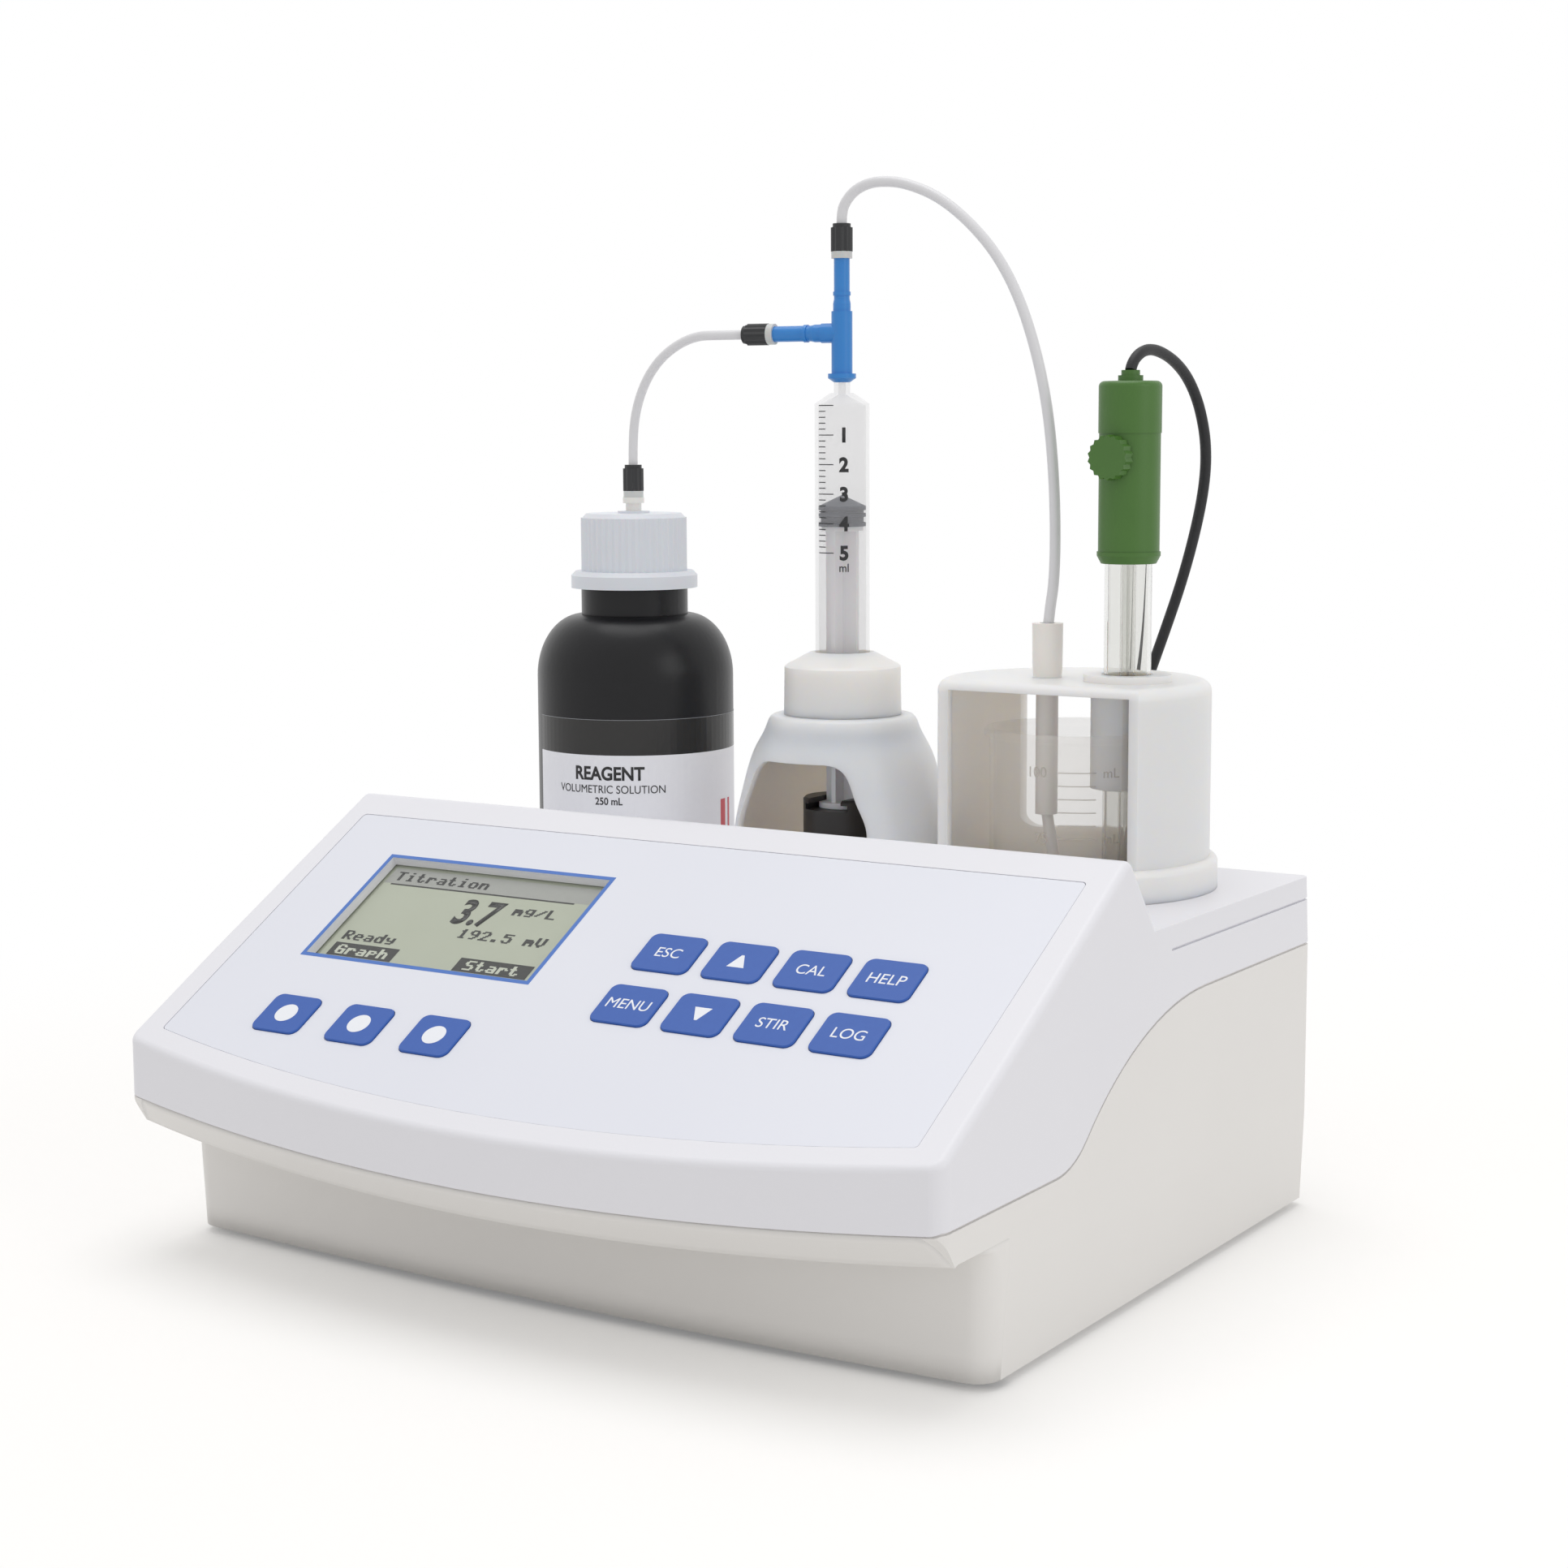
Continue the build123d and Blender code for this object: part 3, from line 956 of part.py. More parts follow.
# ---- electrode and dispensing tip ----------------------------------------------------------------
def electrode():
    here = Pos(HOLDER_X + ELECTRODE_OUT, HOLDER_Y, 0)
    r, wall, base, ring_z = GLASS_D / 2, GLASS_WALL, GLASS_BASE_Z, ELECTRODE_RING_Z
    dome = r - 0.5
    glass = rod(0, 0, base + dome, ring_z, GLASS_D) + Pos(0, 0, base + dome) * Sphere(r)
    hollow = rod(0, 0, base + dome, ring_z + 1, GLASS_D - 2 * wall) + Pos(0, 0, base + dome) * Sphere(r - wall)
    save("electrode_glass", here * (glass - hollow))
    inner = rod(0, 0, base + dome - 3, ring_z, INNER_TUBE_D) - rod(0, 0, base + dome - 2, ring_z + 1, INNER_TUBE_D - 1.2)
    save("electrode_inner_tube", here * inner, here * rod(0, 0, base + dome + 2, ring_z, WIRE_D))
    body, cap_z, top = ELECTRODE_BODY_D / 2, ELECTRODE_CAP_Z, ELECTRODE_TOP_Z
    foot_z = ring_z + ELECTRODE_RING_H
    collar = [(0, ring_z), (r + 1, ring_z), (body + 0.3, foot_z - 1), (body + 0.3, foot_z), (0, foot_z)]
    lower = lathe(0, 0, collar) + rod(0, 0, foot_z, cap_z, ELECTRODE_BODY_D)
    turn = Pos(0, 0, KNOB_Z) * Rot(Z=KNOB_TURN) * Rot(Y=90)
    lower -= turn * Pos(0, 0, 5) * Cylinder(2.1, 10)
    save("electrode_body", here * lower)
    cap = rod(0, 0, cap_z, top, ELECTRODE_CAP_D)
    cap = fillet(cap.edges().group_by(Axis.Z)[-1], 1.4)
    knob = ribbed(KNOB_D, 0.55, KNOB_TEETH, body + 0.1, KNOB_FACE) + rod(0, 0, 3.4, body + 0.2, 4.0)
    save("fill_screw", here * turn * knob)
    relief = rod(0, 0, top, top + 1.4, RELIEF_D) + rod(0, 0, top + 1.4, RELIEF_Z, RELIEF_D - 1.6)
    save("electrode_cap", here * (cap + relief))


def dispensing_tip():
    here = Pos(HOLDER_X + TIP_OUT, HOLDER_Y, 0)
    top, roof = SLEEVE_TOP_Z, HOOD_TOP_Z
    sleeve = lathe(
        0,
        0,
        [(0, roof), (SLEEVE_FOOT_D / 2 + 0.6, roof), (SLEEVE_D / 2, roof + 3.5), (SLEEVE_D / 2 + 0.1, top), (0, top)],
    )
    sleeve -= rod(0, 0, top - 2, top + 1, TUBE_D + 1.2) + rod(0, 0, roof - 1, top - 1, 1.6)
    stem = rod(0, 0, STEM_BASE_Z, roof, STEM_D)
    path = Polyline((0, 0, STEM_BASE_Z + 2), (0.4, 0, STEM_BASE_Z - 1), (2.4, 0, TIP_BASE_Z))
    tip = sweep(Plane(origin=path @ 0, z_dir=path % 0) * Circle(TIP_D / 2), path=path, transition=Transition.ROUND)
    save("dispensing_tip", here * sleeve, here * (stem + tip))


# ---- cords ---------------------------------------------------------------------------------------
def cord(name, diameter, points, stop=None):
    """A flexible lead: straight runs joined by arcs as large as their runs allow, cut off at a stop."""
    route = [Vector(x, CORNER_Y + back, z) for x, back, z in points]
    radii = []
    for before, corner, after in zip(route, route[1:], route[2:]):
        turn = (corner - before).get_angle(after - corner)
        run = min((corner - before).length, (after - corner).length)
        radii.append(0.45 * run / tan(radians(turn) / 2))
    path = FilletPolyline(*route, radius=radii)
    lead = sweep(Plane(origin=route[0], z_dir=route[1] - route[0]) * Circle(diameter / 2), path=path)
    area = pi * diameter**2 / 4
    print(name, "radii", [round(r, 1) for r in radii], "length", round(path.length, 1))
    print(name, "volume", round(lead.volume, 1), "section x length", round(area * path.length, 1))
    save(name, lead - stop if stop else lead)


RELIEF_BACK = STATION_BACK + 2.4
ELECTRODE_X = HOLDER_X + ELECTRODE_OUT
NUT_TOP_Z = VALVE_BODY_TOP + VALVE_NECK_L + VALVE_TIP_L + FERRULE_L + TUBE_NUT_L
SIDE_REACH = SIDE_NECK_BACK + VALVE_NECK_L + VALVE_TIP_L + FERRULE_L + TUBE_NUT_L
SIDE_X = SIDE_REACH * cos(radians(SIDE_ARM_TURN))
SIDE_BACK = STATION_BACK + SIDE_REACH * sin(radians(SIDE_ARM_TURN))
SIDE_RUN = 9.3  # straight lead of the tube out of the side fitting
BOTTLE_NUT_Z = LUER_TOP_Z + FERRULE_L + TUBE_NUT_L
SLEEVE_X = HOLDER_X + TIP_OUT
COIL_TOP_Z = COIL_LAYERS * CABLE_D + 0.2
PLUG_BACK = SIDE_DEPTH - BAY_DEPTH + 2.0 + PLUG_L + 9.0

DISPENSING_ROUTE = [
    (PUMP_X, STATION_BACK, NUT_TOP_Z),
    (0.0, 152.0, 264.0),
    (3.2, 152.1, 269.3),
    (9.4, 152.2, 272.1),
    (18.5, 152.4, 271.2),
    (28.5, 152.6, 266.9),
    (39.5, 152.8, 258.6),
    (49.5, 153.1, 245.5),
    (57.3, 153.4, 229.5),
    (61.7, 153.8, 211.0),
    (63.3, 154.1, 192.0),
    (63.2, 154.3, 176.0),
    (SLEEVE_X, RELIEF_BACK, 166.0),
    (SLEEVE_X, RELIEF_BACK, SLEEVE_TOP_Z - 2),
]
ASPIRATION_ROUTE = [
    (BOTTLE_X, STATION_BACK, BOTTLE_NUT_Z),
    (BOTTLE_X, STATION_BACK, 205.5),
    (-67.8, 151.7, 216.0),
    (-62.4, 150.6, 225.2),
    (-54.0, 148.9, 231.0),
    (-45.0, 147.0, 232.9),
    (SIDE_X + SIDE_RUN * cos(radians(SIDE_ARM_TURN)), SIDE_BACK + SIDE_RUN * sin(radians(SIDE_ARM_TURN)), VALVE_ARM_Z),
    (SIDE_X, SIDE_BACK, VALVE_ARM_Z),
]
CABLE_ROUTE = [
    (ELECTRODE_X, RELIEF_BACK, RELIEF_Z),
    (ELECTRODE_X, RELIEF_BACK, 225.2),
    (83.9, 158.2, 228.6),
    (84.3, 165.5, 229.2),
    (84.8, 175.5, 225.8),
    (85.3, 184.5, 219.5),
    (86.0, 192.5, 209.5),
    (86.8, 196.4, 197.0),
    (85.6, 196.4, 182.5),
    (81.6, 195.4, 167.0),
    (76.4, 194.8, 151.0),
    (71.0, 194.8, 134.5),
    (64.5, 195.2, 118.0),
    (59.0, 197.4, 102.0),
    (57.2, 203.0, 85.0),
    (57.0, 205.6, 64.0),
    (57.4, 204.4, 42.0),
    (57.6, 205.6, 24.0),
    (COIL_X, SIDE_DEPTH + COIL_BACK - COIL_MEAN_D / 2, COIL_TOP_Z + 8),
    (COIL_X, SIDE_DEPTH + COIL_BACK - COIL_MEAN_D / 2, COIL_TOP_Z),
]
TAIL_ROUTE = [
    (BNC_X, PLUG_BACK, SOCKET_Z),
    (BNC_X, PLUG_BACK + 9.0, SOCKET_Z),
    (31.5, PLUG_BACK + 17.5, 29.0),
    (36.5, PLUG_BACK + 22.0, 20.5),
    (44.5, PLUG_BACK + 21.5, 12.0),
    (COIL_X, SIDE_DEPTH + COIL_BACK + COIL_MEAN_D / 2, COIL_TOP_Z - 1.5),
]


def cords():
    cord("dispensing_tube", TUBE_D, DISPENSING_ROUTE)
    cord("aspiration_tube", ASPIRATION_D, ASPIRATION_ROUTE)
    cord("electrode_cable", CABLE_D, CABLE_ROUTE)
    width = COIL_TURNS_ACROSS * CABLE_D
    coil = ring(COIL_X, REAR_Y + COIL_BACK, 0.1, COIL_TOP_Z, COIL_MEAN_D + width, COIL_MEAN_D - width)
    save("cable_coil", coil)
    cord("cable_tail", CABLE_D, TAIL_ROUTE, coil)
    near = 2.0
    shell = facing_rear(BNC_X, SOCKET_Z, near, near + PLUG_L, PLUG_D - 2) + facing_rear(
        BNC_X, SOCKET_Z, near, near + 13, PLUG_D
    )
    boot_end = near + PLUG_L + 9
    shell += facing_rear(BNC_X, SOCKET_Z, near + PLUG_L, boot_end, CABLE_D + 3)
    shell -= facing_rear(BNC_X, SOCKET_Z, near - 1, near + 10, BNC_D + 2.6)
    shell += facing_rear(BNC_X, SOCKET_Z, near + 0.4, near + 11, 2.4)
    save("bnc_plug", shell)


def build():
    save("upper_case", upper_case())
    save("lower_case", lower_case())
    save("deck_plate", deck_plate())
    for make in (
        feet,
        screws,
        panel_pieces,
        main_board,
        rear_panel,
        bottle,
        bottle_cap,
        pump_dome,
        locking_collar,
        syringe,
        piston,
        pump_drive,
        valve,
        holder_hood,
        beaker,
        stirrer,
        electrode,
        dispensing_tip,
        cords,
    ):
        make()


build()
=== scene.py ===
"""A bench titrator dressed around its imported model: moulded ABS case, printed keypad, display,
syringe pump with its valve and tubes, reagent bottle, hooded beaker and glass electrode."""

from math import cos, pi, radians, sin

import bmesh
import bpy
from mathutils import Matrix, Vector


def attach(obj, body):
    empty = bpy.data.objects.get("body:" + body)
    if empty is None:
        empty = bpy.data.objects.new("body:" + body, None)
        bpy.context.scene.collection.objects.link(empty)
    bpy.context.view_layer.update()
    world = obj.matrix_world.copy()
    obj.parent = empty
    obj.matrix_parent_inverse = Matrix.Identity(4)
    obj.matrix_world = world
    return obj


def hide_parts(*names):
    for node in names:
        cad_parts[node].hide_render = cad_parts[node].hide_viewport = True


MM = 0.001
MIX_FIRST, MIX_SECOND, MIX_RESULT = 6, 7, 2  # the colour sockets of a Mix node
SQUARE = ((-1, -1), (1, -1), (1, 1), (-1, 1))  # the corners of a square, in order

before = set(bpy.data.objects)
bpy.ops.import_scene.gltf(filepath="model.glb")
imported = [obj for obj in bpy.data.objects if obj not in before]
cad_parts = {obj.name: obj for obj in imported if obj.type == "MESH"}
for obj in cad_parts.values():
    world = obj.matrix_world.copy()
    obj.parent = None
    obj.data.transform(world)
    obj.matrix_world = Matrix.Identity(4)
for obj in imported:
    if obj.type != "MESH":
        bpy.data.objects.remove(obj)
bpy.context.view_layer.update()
scene = bpy.context.scene
scene.view_settings.view_transform = "Standard"

# ---- places shared with the model, in millimetres -----------------------------------------------
CORNER_Y = -92.75  # front corners of the case
BAND_TOP_Z = 55.6  # the panel's plane at the front corners
PANEL_RISE = 0.5776
KEY_PROUD = 0.45
OVERLAY_FACE = -0.1  # the film lies this far below the panel's plane
KEY_FIRST_X, KEY_PITCH = 16.6, 20.1
KEY_ROW_HIGH, KEY_ROW_LOW = 53.5, 34.5
SOFT_FIRST_X, SOFT_PITCH, SOFT_ROW = -75.9, 23.6, 15.6
SCREEN_X, SCREEN_UP = -51.7, 58.0
FRAME_W, FRAME_H, FRAME_BAR = 73.4, 41.8, 1.2
GLASS_FACE = -2.4  # face of the display's glass
STATION_BACK = 152.0
BEAKER_BACK = 154.4 + 2.5  # the beaker stands a little behind the deck's relief
PUMP = (0.0, CORNER_Y + STATION_BACK)
BOTTLE = (-69.0, CORNER_Y + STATION_BACK)
BEAKER = (68.6, CORNER_Y + BEAKER_BACK)
BARREL_R = 7.35
BOTTLE_R = 27.7
BEAKER_R = 22.9

# ---- cords: their routes as (x, distance behind the front corners, height) ----------------------
TUBE_D, ASPIRATION_D, CABLE_D = 2.8, 2.6, 2.9
SIDE_ARM_TURN = 188.9
SIDE_REACH, SIDE_RUN = 28.6, 9.3
SIDE_ARM_Z = 231.2
COIL_X, COIL_BACK, COIL_MEAN_D = 56.0, 224.0, 32.0
COIL_TURNS = 5
POINTS_PER_TURN = 16
COIL_STEP_SHARE = 4  # the cable moves to its next seat in a quarter of a turn
COIL_LIFT = 0.1
PLUG_X, PLUG_BACK, PLUG_Z = 30.0, 222.0, 34.0


def beside_arm(reach):
    """A point on the axis of the valve's side arm."""
    turn = radians(SIDE_ARM_TURN)
    return (reach * cos(turn), STATION_BACK + reach * sin(turn), SIDE_ARM_Z)


DISPENSING_ROUTE = [
    (0.0, 152.0, 259.8),
    (0.0, 152.0, 262.0),
    (0.7, 152.0, 264.8),
    (3.7, 152.2, 268.2),
    (8.4, 152.3, 270.0),
    (13.6, 152.5, 270.2),
    (19.4, 152.8, 269.3),
    (28.2, 153.1, 265.9),
    (37.2, 153.5, 259.3),
    (45.8, 153.8, 250.2),
    (52.5, 154.1, 238.4),
    (57.5, 154.3, 223.8),
    (60.6, 154.4, 209.5),
    (62.2, 154.5, 194.0),
    (62.8, 154.5, 178.8),
    (62.5, 154.5, 166.5),
    (61.4, 154.4, 159.6),
    (60.8, 154.4, 154.0),
]
ASPIRATION_ROUTE = [
    (-69.0, 152.0, 196.1),
    (-69.0, 152.0, 201.0),
    (-68.4, 151.9, 208.0),
    (-66.4, 151.5, 214.4),
    (-62.7, 150.8, 220.6),
    (-57.2, 149.8, 225.8),
    (-50.0, 148.5, 229.5),
    (-43.2, 147.2, 231.2),
    beside_arm(SIDE_REACH + SIDE_RUN),
    beside_arm(SIDE_REACH),
]
CABLE_ROUTE = [
    (83.6, 154.4, 220.3),
    (83.6, 154.8, 221.4),
    (83.8, 156.7, 223.5),
    (84.1, 160.4, 225.2),
    (84.4, 165.2, 225.7),
    (84.9, 171.0, 224.7),
    (85.3, 176.9, 222.7),
    (85.7, 182.5, 219.6),
    (86.1, 187.2, 215.2),
    (86.4, 191.0, 209.6),
    (86.6, 193.9, 202.0),
    (85.6, 196.2, 193.0),
    (83.7, 196.2, 181.6),
    (79.8, 195.6, 166.0),
    (74.3, 195.0, 149.8),
    (69.2, 194.8, 136.0),
    (64.5, 195.2, 118.0),
    (59.0, 197.4, 102.0),
    (57.2, 203.0, 85.0),
    (57.0, 205.6, 64.0),
    (57.4, 204.4, 42.0),
    (57.6, 205.6, 24.0),
]
TAIL_ROUTE = [
    (PLUG_X, PLUG_BACK, PLUG_Z),
    (PLUG_X, PLUG_BACK + 9.0, PLUG_Z),
    (31.5, PLUG_BACK + 17.5, 29.0),
    (36.5, PLUG_BACK + 22.0, 20.5),
    (44.5, PLUG_BACK + 21.5, 12.0),
]


def coil_points():
    """The cable's turns: down the outside, in along the bottom and up the inside of the ring."""
    seats = [(0, 1), (1, 1), (1, 0), (0, 0), (-1, 0), (-1, 1)]
    points = []
    for step in range(1, COIL_TURNS * POINTS_PER_TURN + POINTS_PER_TURN // 2):
        turns = step / POINTS_PER_TURN
        before = int(turns)
        after = min(before + 1, len(seats) - 1)
        share = min((turns - before) * COIL_STEP_SHARE, 1.0)
        out = seats[before][0] + (seats[after][0] - seats[before][0]) * share
        layer = seats[before][1] + (seats[after][1] - seats[before][1]) * share
        radius = COIL_MEAN_D / 2 + out * CABLE_D
        angle = 2 * pi * turns - pi / 2
        height = CABLE_D / 2 + COIL_LIFT + layer * CABLE_D
        points.append((COIL_X + radius * cos(angle), COIL_BACK + radius * sin(angle), height))
    return points


# ---- colours, nodes and meshes ------------------------------------------------------------------
def linear(code):
    """An sRGB hex code as the linear colour that Blender's sockets take."""
    parts = [int(code[i : i + 2], 16) / 255 for i in (1, 3, 5)]
    return [v / 12.92 if v <= 0.04045 else ((v + 0.055) / 1.055) ** 2.4 for v in parts] + [1.0]


def add(tree, kind, inputs=None, **settings):
    """Adds a node, with its settings, and sets or links its inputs."""
    made = tree.nodes.new(kind)
    for key, value in settings.items():
        setattr(made, key, value)
    for key, value in (inputs or {}).items():
        if isinstance(value, bpy.types.NodeSocket):
            tree.links.new(value, made.inputs[key])
        else:
            made.inputs[key].default_value = value
    return made


def blank(name):
    """A material with an empty node tree and the object's own coordinates."""
    material = bpy.data.materials.new(name)
    material.use_nodes = True
    tree = material.node_tree
    tree.nodes.clear()
    place = add(tree, "ShaderNodeTexCoord").outputs["Object"]
    return material, tree, place


def close(tree, shader):
    add(tree, "ShaderNodeOutputMaterial", {"Surface": shader.outputs[0]})


def tint(tree, place, size_mm, low, high, detail=3.0):
    """A colour that drifts between two tones in patches of a given size."""
    noise = {"Vector": place, "Scale": 1 / (size_mm * MM), "Detail": detail}
    patches = add(tree, "ShaderNodeTexNoise", noise)
    mix = {"Factor": patches.outputs["Fac"], MIX_FIRST: linear(low), MIX_SECOND: linear(high)}
    return add(tree, "ShaderNodeMix", mix, data_type="RGBA").outputs[MIX_RESULT]


def relief(tree, place, size_mm, depth_mm, strength=1.0, detail=2.0):
    """A bump from grain of a given size and depth."""
    noise = {"Vector": place, "Scale": 1 / (size_mm * MM), "Detail": detail}
    grain = add(tree, "ShaderNodeTexNoise", noise)
    bump = {"Height": grain.outputs["Fac"], "Distance": depth_mm * MM, "Strength": strength}
    return add(tree, "ShaderNodeBump", bump).outputs["Normal"]


def mesh_from(name, points, faces):
    mesh = bpy.data.meshes.new(name)
    mesh.from_pydata([[v * MM for v in point] for point in points], [], faces)
    mesh.update()
    return mesh


def piece(name, data, material, body):
    """A shown piece that rides on a body."""
    obj = bpy.data.objects.new(name, data)
    scene.collection.objects.link(obj)
    data.materials.clear()
    data.materials.append(material)
    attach(obj, body)
    return obj


# ---- materials ----------------------------------------------------------------------------------
def moulded_abs(name, low, high, roughness=0.42):
    """ABS from a spark-eroded mould: an even, fine matt grain with a soft wide highlight."""
    material, tree, place = blank(name)
    shader = {
        "Base Color": tint(tree, place, 60.0, low, high),
        "Roughness": roughness,
        "IOR": 1.53,
        "Normal": relief(tree, place, 0.7, 0.03, 0.35),
    }
    close(tree, add(tree, "ShaderNodeBsdfPrincipled", shader))
    return material


def thin_wall_abs(name, low, high):
    """Unpainted ivory ABS in a thin wall: the same fine grain, and a warm light through it."""
    material, tree, place = blank(name)
    shader = {
        "Base Color": tint(tree, place, 60.0, low, high),
        "Roughness": 0.38,
        "IOR": 1.53,
        "Subsurface Weight": 0.85,
        "Subsurface Radius": (1.0, 0.8, 0.58),
        "Subsurface Scale": 9.0 * MM,
        "Normal": relief(tree, place, 0.7, 0.03, 0.35),
    }
    close(tree, add(tree, "ShaderNodeBsdfPrincipled", shader))
    return material


def printed_film():
    """Polycarbonate overlay, printed on its back: smoother than the case, faintly blue, velvety."""
    material, tree, place = blank("velvet polycarbonate film")
    shader = {
        "Base Color": tint(tree, place, 45.0, "#E3E5EE", "#E6E8F0"),
        "Roughness": 0.34,
        "IOR": 1.585,
        "Normal": relief(tree, place, 0.5, 0.012, 0.3),
    }
    close(tree, add(tree, "ShaderNodeBsdfPrincipled", shader))
    return material


def screen_ink(name, low, high, roughness=0.45):
    """Opaque printing ink: a slight mottle where the mesh has laid it thinner."""
    material, tree, place = blank(name)
    shader = {
        "Base Color": tint(tree, place, 1.6, low, high),
        "Roughness": roughness,
        "Normal": relief(tree, place, 0.5, 0.01, 0.25),
    }
    close(tree, add(tree, "ShaderNodeBsdfPrincipled", shader))
    return material


def soft_plastic(
    name, low, high, roughness, grain_mm=0.6, depth_mm=0.02, patch_mm=14.0, glow=0.0, ior=1.5
):
    """Moulded polyethylene, polypropylene, nylon or rubber: waxy, and where it glows, light is
    carried a little way under the skin."""
    material, tree, place = blank(name)
    shader = {
        "Base Color": tint(tree, place, patch_mm, low, high),
        "Roughness": roughness,
        "IOR": ior,
        "Subsurface Weight": glow,
        "Subsurface Scale": 1.0 * MM,
        "Normal": relief(tree, place, grain_mm, depth_mm, 0.5),
    }
    close(tree, add(tree, "ShaderNodeBsdfPrincipled", shader))
    return material


def clear_plastic(name, colour, roughness, ior, flow_mm, depth_mm):
    """Clear moulded plastic: slightly hazy, with flow marks that bend what lies behind."""
    material, tree, place = blank(name)
    shader = {
        "Base Color": linear(colour),
        "Roughness": roughness,
        "IOR": ior,
        "Transmission Weight": 1.0,
        "Normal": relief(tree, place, flow_mm, depth_mm, 0.3, 1.0),
    }
    close(tree, add(tree, "ShaderNodeBsdfPrincipled", shader))
    return material


def milky_plastic(name, low, high, cover, roughness, flow_mm):
    """A thin, slightly milky clear wall: it veils what lies behind, and its gloss shows it."""
    material, tree, place = blank(name)
    shader = {
        "Base Color": tint(tree, place, 30.0, low, high),
        "Roughness": roughness,
        "IOR": 1.49,
        "Alpha": cover,
        "Normal": relief(tree, place, flow_mm, 0.05, 0.3, 1.0),
    }
    close(tree, add(tree, "ShaderNodeBsdfPrincipled", shader))
    return material


def frosted_plastic():
    """Raised marks on a clear wall: the same plastic, its matt face scattering a little light."""
    material, tree, place = blank("frosted polymethylpentene")
    shader = {
        "Base Color": tint(tree, place, 1.0, "#C8C2B9", "#D6D1C9"),
        "Roughness": 0.5,
        "Alpha": 0.55,
        "Normal": relief(tree, place, 0.5, 0.01, 0.3),
    }
    close(tree, add(tree, "ShaderNodeBsdfPrincipled", shader))
    return material


def window_film():
    """Thin clear film over the display: nearly nothing but its gloss."""
    material, tree, place = blank("clear polyester window")
    shader = {
        "Base Color": linear("#E8ECEA"),
        "Roughness": 0.08,
        "Alpha": 0.02,
        "Normal": relief(tree, place, 6.0, 0.01, 0.2),
    }
    close(tree, add(tree, "ShaderNodeBsdfPrincipled", shader))
    return material


def worked_metal(name, low, high, roughness, grain_mm, depth_mm):
    """Turned, milled or plated metal: a grain that breaks up its highlights."""
    material, tree, place = blank(name)
    shader = {
        "Base Color": tint(tree, place, 3.0, low, high),
        "Metallic": 1.0,
        "Roughness": roughness,
        "Normal": relief(tree, place, grain_mm, depth_mm, 0.6),
    }
    close(tree, add(tree, "ShaderNodeBsdfPrincipled", shader))
    return material


WHITE_ABS = moulded_abs("cool white ABS", "#E9E9EE", "#ECECF1")
WARM_ABS = moulded_abs("warm white ABS", "#E8E6E3", "#ECEAE7")
HOOD_ABS = thin_wall_abs("ivory white ABS", "#EEEBE8", "#F1EEEB")
FILM = printed_film()
KEY_BLUE = screen_ink("blue ink on an embossed key", "#2757AC", "#2D5DB2")
FRAME_BLUE = screen_ink("light blue ink", "#4070C0", "#4675C5")
WHITE_INK = screen_ink("white ink", "#EDF0F6", "#F2F4F9")
BLACK_INK = screen_ink("black ink", "#1C1C1E", "#242426")
GREY_INK = screen_ink("grey ink", "#8B8E92", "#94979B")
# painted shadow: a flat grey that stands for the shade the window's frame casts over the top of the
# display
FRAME_SHADOW_INK = screen_ink("painted frame shadow on the display cell", "#9C9E99", "#A6A8A2", 0.3)
LCD_DARK = screen_ink("dark liquid crystal", "#161614", "#1E1E1B", 0.3)
LCD_LIGHT = screen_ink("clear liquid crystal", "#BFC4B4", "#C6CBBB", 0.3)
LABEL_WHITE = screen_ink("white coated paper", "#EDEEF3", "#F1F2F6", 0.5)
LABEL_BLACK = screen_ink("black varnished paper", "#171615", "#1F1D1B", 0.22)
RED_INK = screen_ink("red ink", "#C23744", "#CB404C", 0.4)
FROSTED = frosted_plastic()
WINDOW = window_film()
DISPLAY = soft_plastic("reflective display cell", "#B0B6A3", "#B6BCAA", 0.3, 0.9, 0.006, 20.0)
HDPE_BLACK = soft_plastic(
    "blow-moulded black polyethylene", "#121214", "#19191C", 0.32, 1.6, 0.05, ior=1.36
)
PP_CAP = soft_plastic("moulded polypropylene cap", "#DDE1E8", "#E3E7ED", 0.4, glow=0.15)
PP_CLEAR = milky_plastic("milky polypropylene barrel", "#DDDCDE", "#E3E2E4", 0.17, 0.16, 8.0)
BEAKER_CLEAR = milky_plastic("clear polymethylpentene", "#E8E3DB", "#EFEAE3", 0.15, 0.06, 12.0)
GLASS = clear_plastic("drawn borosilicate glass", "#F0F0EE", 0.0, 1.4, 30.0, 0.02)
RUBBER = soft_plastic("moulded rubber stopper", "#2A3542", "#323E4C", 0.5)
FOOT_RUBBER = soft_plastic("black rubber", "#161616", "#1E1E1E", 0.7)
PP_WHITE = soft_plastic("natural polypropylene", "#F0F0F2", "#F4F4F6", 0.35, glow=0.3)
POM_BLACK = soft_plastic("turned black acetal", "#2A2827", "#322F2E", 0.42)
NYLON_BLUE = soft_plastic("blue nylon", "#2A7FCD", "#358AD6", 0.32, 0.5, 0.015, glow=0.1)
NYLON_BLACK = soft_plastic("black nylon", "#222325", "#2A2B2D", 0.45)
FERRULE = soft_plastic("natural nylon", "#C9CBC9", "#D3D5D3", 0.35, glow=0.2)
TUBING = soft_plastic("milky polyethylene tubing", "#DEDEE1", "#E4E4E6", 0.3, 2.0, 0.004, 40.0)
GREEN_PP = soft_plastic("green moulded polypropylene", "#3F6A24", "#47732B", 0.42, 0.5, 0.03)
CABLE_PVC = soft_plastic("black PVC jacket", "#242426", "#2C2C2F", 0.48, ior=1.4)
BLACK_ABS = soft_plastic("black ABS", "#1B1B1D", "#232325", 0.45)
# partly painted light: the fluoropolymer is white, and its faint warm tint stands for the warm
# light inside the ivory hood
PTFE = soft_plastic("white fluoropolymer with painted warm hood light", "#EEEBE6", "#F2EFEB", 0.4, glow=0.2)
